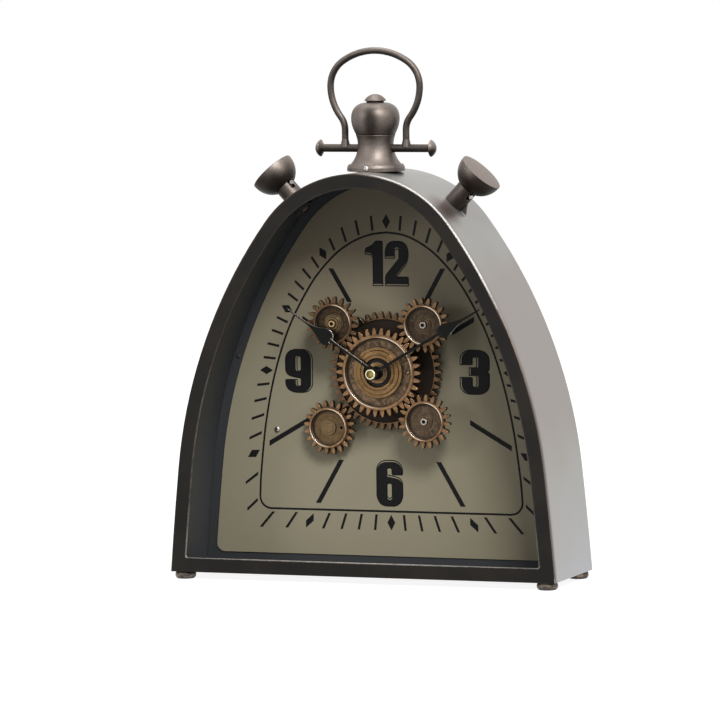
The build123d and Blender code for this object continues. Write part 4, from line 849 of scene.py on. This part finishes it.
def bored_metal(name, node, colour, bore, hole=hole_shade_dark):
    """A turned head or nut with a hole of the given radius in its end, painted in the given colour as the
    shade inside it.
    """
    material, shade, surface = new_finish(name)
    place = object_place(shade)
    soft = rounded_edges(shade, 0.0004)
    stain_and_reflection = between(shade, 0.4, cloud(shade, place, 500, 4), 0.7)
    _, _, reach = from_axle(shade, place, node)
    # The hole is painted shade: a dark disc of the hole's radius.
    ring = between(shade, bore, reach, bore + 0.0002)
    tone = mixed(shade, stain_and_reflection * 0.6, colour, toned(colour, 0.5))
    shade.feed(surface.inputs["Base Color"], mixed(shade, ring, hole, tone))
    shade.feed(surface.inputs["Roughness"], 0.2 + stain_and_reflection * 0.15)
    surface.inputs["Metallic"].default_value = 1
    bumped(shade, surface, stain_and_reflection * 0.00003, soft)
    return material


for corner, tone in post_tones.items():
    post = f"idler_post_{corner}"
    dress(bored_metal(f"post_{corner}", post, tone, post_bore), post)
dress(bored_metal("nut_brass", "hand_nut", nut_brass, nut_bore, nut_bore_shade), "hand_nut")
dress(bored_metal("dial_screw_steel", "dial_screw", screw_steel, screw_bore), "dial_screw")

fixing_steel = (0.42, 0.4, 0.37)


def plain_steel(name, colour, roughness=0.26):
    """Plain turned or drawn steel, with a little staining."""
    material, shade, surface = new_finish(name)
    soft = rounded_edges(shade, 0.0004)
    stain_and_reflection = cloud(shade, object_place(shade), 420, 4)
    tone = mixed(shade, between(shade, 0.42, stain_and_reflection, 0.7), colour, toned(colour, 0.5))
    shade.feed(surface.inputs["Base Color"], tone)
    shade.feed(surface.inputs["Roughness"], roughness + stain_and_reflection * 0.2)
    surface.inputs["Metallic"].default_value = 1
    bumped(shade, surface, stain_and_reflection * 0.00004, soft)
    return material


dress(
    plain_steel("fixing_steel", fixing_steel),
    "back_cover_screws", "motor_screws", "back_pillars", "bush_nut", "drive_shaft",
)


# The hands: pressed steel with an oval lobe and a fine tip, painted black, the paint thin along the
# edges, which carry a painted highlight where they face the light at the right. The hour hand sits on
# its pipe and the minute hand on the arbor, under an open brass nut.
hand_dark, hand_dusty = (0.0035, 0.0034, 0.0032), (0.007, 0.0066, 0.006)
hand_bare_and_lit, arbor_brass = (0.5, 0.48, 0.45), (0.3, 0.24, 0.09)
# The way of the light that the painted edge highlights face.
lit_way, hub_reach, edge_light_starts = (0.97, 0, 0.24), 0.006, 0.009


def hand_black(name, brass_in_front_of=-1.0):
    """Satin black, worn along the edges beyond the hub with a painted highlight on those that face the
    light at the right, and bare brass in front of the given depth.
    """
    material, shade, surface = new_finish(name)
    place = object_place(shade)
    _, y, _ = axes(shade, place)
    soft = rounded_edges(shade, 0.0005)
    wide = rounded_edges(shade, 0.001)
    to_object = {"vector_type": "NORMAL", "convert_from": "WORLD", "convert_to": "OBJECT"}
    tilt = shade.node("ShaderNodeVectorTransform", to_object, {0: wide})
    # Painted highlight on the edges that face the light, fainter on the others.
    toward_light = vector_sum(shade, "DOT_PRODUCT", tilt, lit_way)
    edge = between(shade, 0.2, toward_light, 0.42) + between(shade, 0.35, 0 - toward_light, 0.7) * 0.2
    _, _, reach = from_axle(shade, place, "hand_nut")
    edge = edge * between(shade, hub_reach, reach, edge_light_starts)
    dust = cloud(shade, place, 700, 4)
    tip = y < brass_in_front_of
    colour = mixed(shade, dust, hand_dark, hand_dusty)
    colour = mixed(shade, edge, colour, hand_bare_and_lit)
    shade.feed(surface.inputs["Base Color"], mixed(shade, tip, colour, arbor_brass))
    shade.feed(surface.inputs["Metallic"], shade.sums("MAXIMUM", tip, edge))
    shade.feed(surface.inputs["Roughness"], 0.3 + dust * 0.16 - edge * 0.18)
    surface.inputs["Specular IOR Level"].default_value = 0.09
    bumped(shade, surface, dust * 0.00003, soft)
    return material


merge_within = 0.000002


def merged(face_outward):
    """Joins the loose corners of the active piece, and turns its faces outward where asked."""
    bpy.ops.object.mode_set(mode="EDIT")
    bpy.ops.mesh.select_all(action="SELECT")
    bpy.ops.mesh.remove_doubles(threshold=merge_within)
    if face_outward:
        bpy.ops.mesh.normals_make_consistent(inside=False)
    bpy.ops.object.mode_set(mode="OBJECT")


blade_round, eye_steps, bore_step = 0.00012, 32, 12


def pressed_hand(node, body, turn, half_widths, eye, bore, finish):
    """A hand from its half widths along its length, in millimetres, with an eye that fits its arbor."""
    front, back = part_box(node)[0][1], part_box(node)[1][1]
    low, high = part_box("hand_nut")
    neck = half_widths[0][1]
    side = eased([((eye**2 - neck**2) ** 0.5, neck), *half_widths[1:]])
    opening = asin(neck / eye)
    round_back = [opening + (2 * pi - 2 * opening) * step / eye_steps for step in range(1, eye_steps)]
    outline = [(half, along) for along, half in side] + [(-half, along) for along, half in reversed(side)]
    outline += [(-eye * sin(angle), eye * cos(angle)) for angle in round_back]
    round_bore = [radians(angle) for angle in range(0, 360, bore_step)]
    hole = [(bore * sin(angle), bore * cos(angle)) for angle in round_bore]
    loops = [
        [(u * cos(turn) + v * sin(turn), v * cos(turn) - u * sin(turn)) for u, v in loop]
        for loop in (outline, hole)
    ]
    piece = flat_piece(f"{node}_blade", loops, "BOTH", (back - front) / 2 - blade_round, blade_round)
    merged(face_outward=True)
    stood_up(piece, ((low[0] + high[0]) / 2, (front + back) / 2, (low[2] + high[2]) / 2))
    piece.data.materials.append(finish)
    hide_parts(node)
    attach(piece, body)


# Along each hand from the dial's axis, and half its width there.
hour_widths = [
    (0, 1.1), (36, 0.95), (37.2, 2.0), (38.2, 3.8), (40, 5.05), (42, 5.45), (43.6, 5.4),
    (45.4, 4.75), (47.5, 3.65), (50, 2.5), (53, 1.55), (56.5, 0.95), (61, 0.65), (76, 0.5),
]
minute_widths = [
    (0, 1.05), (52, 0.9), (53.4, 1.6), (54.8, 2.9), (56.4, 3.85), (58.4, 4.45), (60, 4.5),
    (61.8, 4.1), (64, 3.3), (67, 2.3), (70, 1.5), (73, 1.0), (77, 0.65), (88.5, 0.5),
]
hour_turn, hour_eye, hour_bore = radians(304), 4.6, 3.2
minute_turn, minute_eye, minute_bore = radians(60), 4.2, 1.8
brass_gap = 0.0006
brass_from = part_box("minute_hand")[0][1] - brass_gap
hand_finish = hand_black("hand_black")
dress(hand_finish, "hour_pipe")
pressed_hand("hour_hand", "hour", hour_turn, hour_widths, hour_eye, hour_bore, hand_finish)
pressed_hand("minute_hand", "minute", minute_turn, minute_widths, minute_eye, minute_bore, hand_finish)
dress(hand_black("arbor_black", brass_from), "minute_arbor")


# The crown, bow and pushers: turned and bent metal in an antique pewter finish, dark in the hollows
# with patina and painted shade, lighter on faces that look up as painted light from above, and rubbed
# brighter on what stands proud. The flat tops of the pushers are brushed, and the front of the crown
# carries a painted dark reflection.
pewter_dark, pewter_dirt_and_shade = (0.0262, 0.0214, 0.0182), (0.013, 0.0105, 0.009)
pewter_edge = (0.42, 0.36, 0.31)
cap_pewter, cap_brushed, brush_lines = (0.275, 0.231, 0.205), (0.27, 0.23, 0.205), (2400, 5200, 2400)
crown_pewter, finial_pewter = (0.225, 0.189, 0.167), (0.23, 0.193, 0.171)
bow_pewter, bar_pewter, knob_pewter = (0.19, 0.16, 0.142), (0.1, 0.084, 0.074), (0.36, 0.3, 0.265)
bulb_low, bulb_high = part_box("crown_bulb")
# Where the painted dark reflection sits on the crown's front, and how far it spreads.
dark_reflection_at = ((bulb_low[0] + bulb_high[0]) / 2 + 0.002, bulb_low[1], bulb_low[2] + 0.0085)
dark_reflection_scale, dark_reflection_tone = (1 / 0.0065, 1 / 0.016, 1 / 0.016), (0.02, 0.0165, 0.0137)


def antique_pewter(name, lightened, dark_below=-0.35, top_axis=None, dark_front_reflection=False):
    """Dark pewter, lighter on faces that look up as painted light from above, and brushed on faces square
    to a top axis.
    """
    material, shade, surface = new_finish(name)
    place = object_place(shade)
    soft = rounded_edges(shade, 0.0007)
    open_air = open_to_air(shade, 0.006)
    clouds = cloud(shade, place, 90, 5)
    mottle = cloud(shade, place, 1700, 4)
    normal = shade.node("ShaderNodeTexCoord", out="Normal")
    _, _, rise = axes(shade, normal)
    # Painted light: faces that look up are lighter, as if lit from above.
    lit_from_above = between(shade, dark_below, rise + (clouds - 0.5) * 0.5 + (mottle - 0.5) * 0.12, 0.85)
    colour = mixed(shade, lit_from_above, pewter_dark, lightened)
    colour = mixed(shade, between(shade, 0.5, mottle, 0.7) * lit_from_above * 0.6, colour, toned(lightened, 1.5))
    # Painted reflection: a dark ragged patch on the front of the crown.
    if dark_front_reflection:
        offset = vector_sum(shade, "SUBTRACT", place, dark_reflection_at)
        offset = vector_sum(shade, "MULTIPLY", offset, dark_reflection_scale)
        ragged = vector_sum(shade, "DISTANCE", offset) + (clouds - 0.5) * 0.7
        stain_and_reflection = 1 - between(shade, 0.3, ragged, 1.15)
        colour = mixed(shade, stain_and_reflection * 0.88, colour, dark_reflection_tone)
    proud = near_edge(shade, soft) * between(shade, 0.55, open_air, 0.9)
    colour = mixed(shade, proud * 0.5, colour, pewter_edge)
    # Patina with painted shade in the hollows and at the feet of parts.
    dirt_and_shade = 1 - between(shade, 0.2, open_air, 0.85)
    colour = mixed(shade, dirt_and_shade * 0.85, colour, pewter_dirt_and_shade)
    rough = 0.36 + mottle * 0.2 + dirt_and_shade * 0.12
    height = mottle * 0.00011
    if top_axis is not None:
        top = between(shade, 0.9, vector_sum(shade, "DOT_PRODUCT", normal, top_axis), 0.96)
        brush = shade.sums("SINE", vector_sum(shade, "DOT_PRODUCT", place, brush_lines))
        colour = mixed(shade, top * (0.5 + brush * 0.15), colour, cap_brushed)
        rough = rough + top * 0.12
        height = height + brush * top * 0.00001
    shade.feed(surface.inputs["Base Color"], colour)
    surface.inputs["Metallic"].default_value = 1
    shade.feed(surface.inputs["Roughness"], rough)
    bumped(shade, surface, height, soft)
    return material


# The crown carries the painted dark reflection on its front.
finish = antique_pewter("crown_pewter", crown_pewter, dark_below=-0.9, dark_front_reflection=True)
dress(finish, "crown_stem", "crown_bulb")
dress(antique_pewter("finial_pewter", finial_pewter), "crown_finial")
dress(antique_pewter("bow_pewter", bow_pewter), "bow_loop", "pusher_sleeve_left", "pusher_sleeve_right")
dress(antique_pewter("bar_pewter", bar_pewter), "bow_bar")
dress(antique_pewter("knob_pewter", knob_pewter), "bow_knobs")
pusher_lean = radians(43)
pusher_ways = {
    side: Vector((way * sin(pusher_lean), 0, cos(pusher_lean)))
    for side, way in (("left", -1), ("right", 1))
}
for side, outward in pusher_ways.items():
    dress(antique_pewter(f"pusher_pewter_{side}", cap_pewter, top_axis=outward), f"pusher_cap_{side}")
pin_steel, pin_rough = (0.55, 0.52, 0.49), 0.2
finish = plain_steel("pin_steel", pin_steel, pin_rough)
dress(finish, "pusher_pin_left", "pusher_pin_right", "crown_screw")


# The pushers' springs: wound steel wire inside each sleeve, between its floor and the plunger, each
# copied from its CAD piece with its loose corners joined.
spring_steel = plain_steel("spring_steel", fixing_steel)
for side, outward in pusher_ways.items():
    node = f"pusher_spring_{side}"
    pick(frame["nodes"][node])
    bpy.ops.object.duplicate()
    spring = bpy.context.object
    spring.name = f"pusher_coil_{side}"
    bpy.ops.object.parent_clear(type="CLEAR_KEEP_TRANSFORM")
    merged(face_outward=False)
    heights = [outward.dot(vertex.co) for vertex in spring.data.vertices]
    low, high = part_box(node)
    middle = (low + high) / 2
    start, end = [
        middle + outward * (height - middle.dot(outward)) for height in (min(heights), max(heights))
    ]
    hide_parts(node)
    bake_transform(spring)
    spring.data.materials.clear()
    spring.data.materials.append(spring_steel)


# The back: a dark painted cover screwed to pillars, with the movement and the motor showing in its
# windows. Both are moulded in black plastic, and each has a round cell in an open bay.
module_dark, module_light = (0.014, 0.014, 0.015), (0.024, 0.024, 0.025)
knob_dark, knob_light = (0.2, 0.195, 0.185), (0.25, 0.245, 0.23)
sleeve_dark, sleeve_light, sleeve_band = (0.085, 0.105, 0.12), (0.12, 0.14, 0.155), (0.5, 0.5, 0.47)
cell_end = (0.55, 0.54, 0.52)


def moulded_plastic(name, dark, light):
    """Spark-grained plastic, paler along its edges."""
    material, shade, surface = new_finish(name)
    soft = rounded_edges(shade, 0.0006)
    spark = cloud(shade, object_place(shade), 2200, 2)
    colour = mixed(shade, spark, dark, light)
    colour = mixed(shade, near_edge(shade, soft) * 0.3, colour, toned(light, 2.5))
    shade.feed(surface.inputs["Base Color"], colour)
    shade.feed(surface.inputs["Roughness"], 0.42 + spark * 0.2)
    bumped(shade, surface, spark * 0.00008, soft)
    return material


def cell_sleeve(node):
    """A plain cell: bare steel ends, and a slate sleeve with one pale band."""
    material, shade, surface = new_finish(f"{node}_sleeve")
    place = object_place(shade)
    low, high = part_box(node)
    lengthwise = max(range(3), key=lambda axis: high[axis] - low[axis])
    along = axes(shade, place)[lengthwise]
    along = (along - low[lengthwise]) / (high[lengthwise] - low[lengthwise])
    scuff = cloud(shade, place, 500, 3)
    band = between(shade, 0.68, along, 0.69) * (1 - between(shade, 0.88, along, 0.89))
    wrapped = between(shade, 0.01, along, 0.02) * (1 - between(shade, 0.95, along, 0.96))
    sleeve = mixed(shade, scuff, sleeve_dark, sleeve_light)
    sleeve = mixed(shade, band, sleeve, sleeve_band)
    shade.feed(surface.inputs["Base Color"], mixed(shade, wrapped, cell_end, sleeve))
    shade.feed(surface.inputs["Metallic"], 1 - wrapped)
    shade.feed(surface.inputs["Roughness"], 0.28 + scuff * 0.12)
    bumped(shade, surface, scuff * 0.00002)
    return material


dress(case_paint("cover_paint"), "back_cover")
dress(moulded_plastic("module_plastic", module_dark, module_light), "movement_case", "gear_motor")
dress(moulded_plastic("knob_plastic", knob_dark, knob_light), "set_knob")
for cell in ("movement_battery", "motor_battery"):
    dress(cell_sleeve(cell), cell)
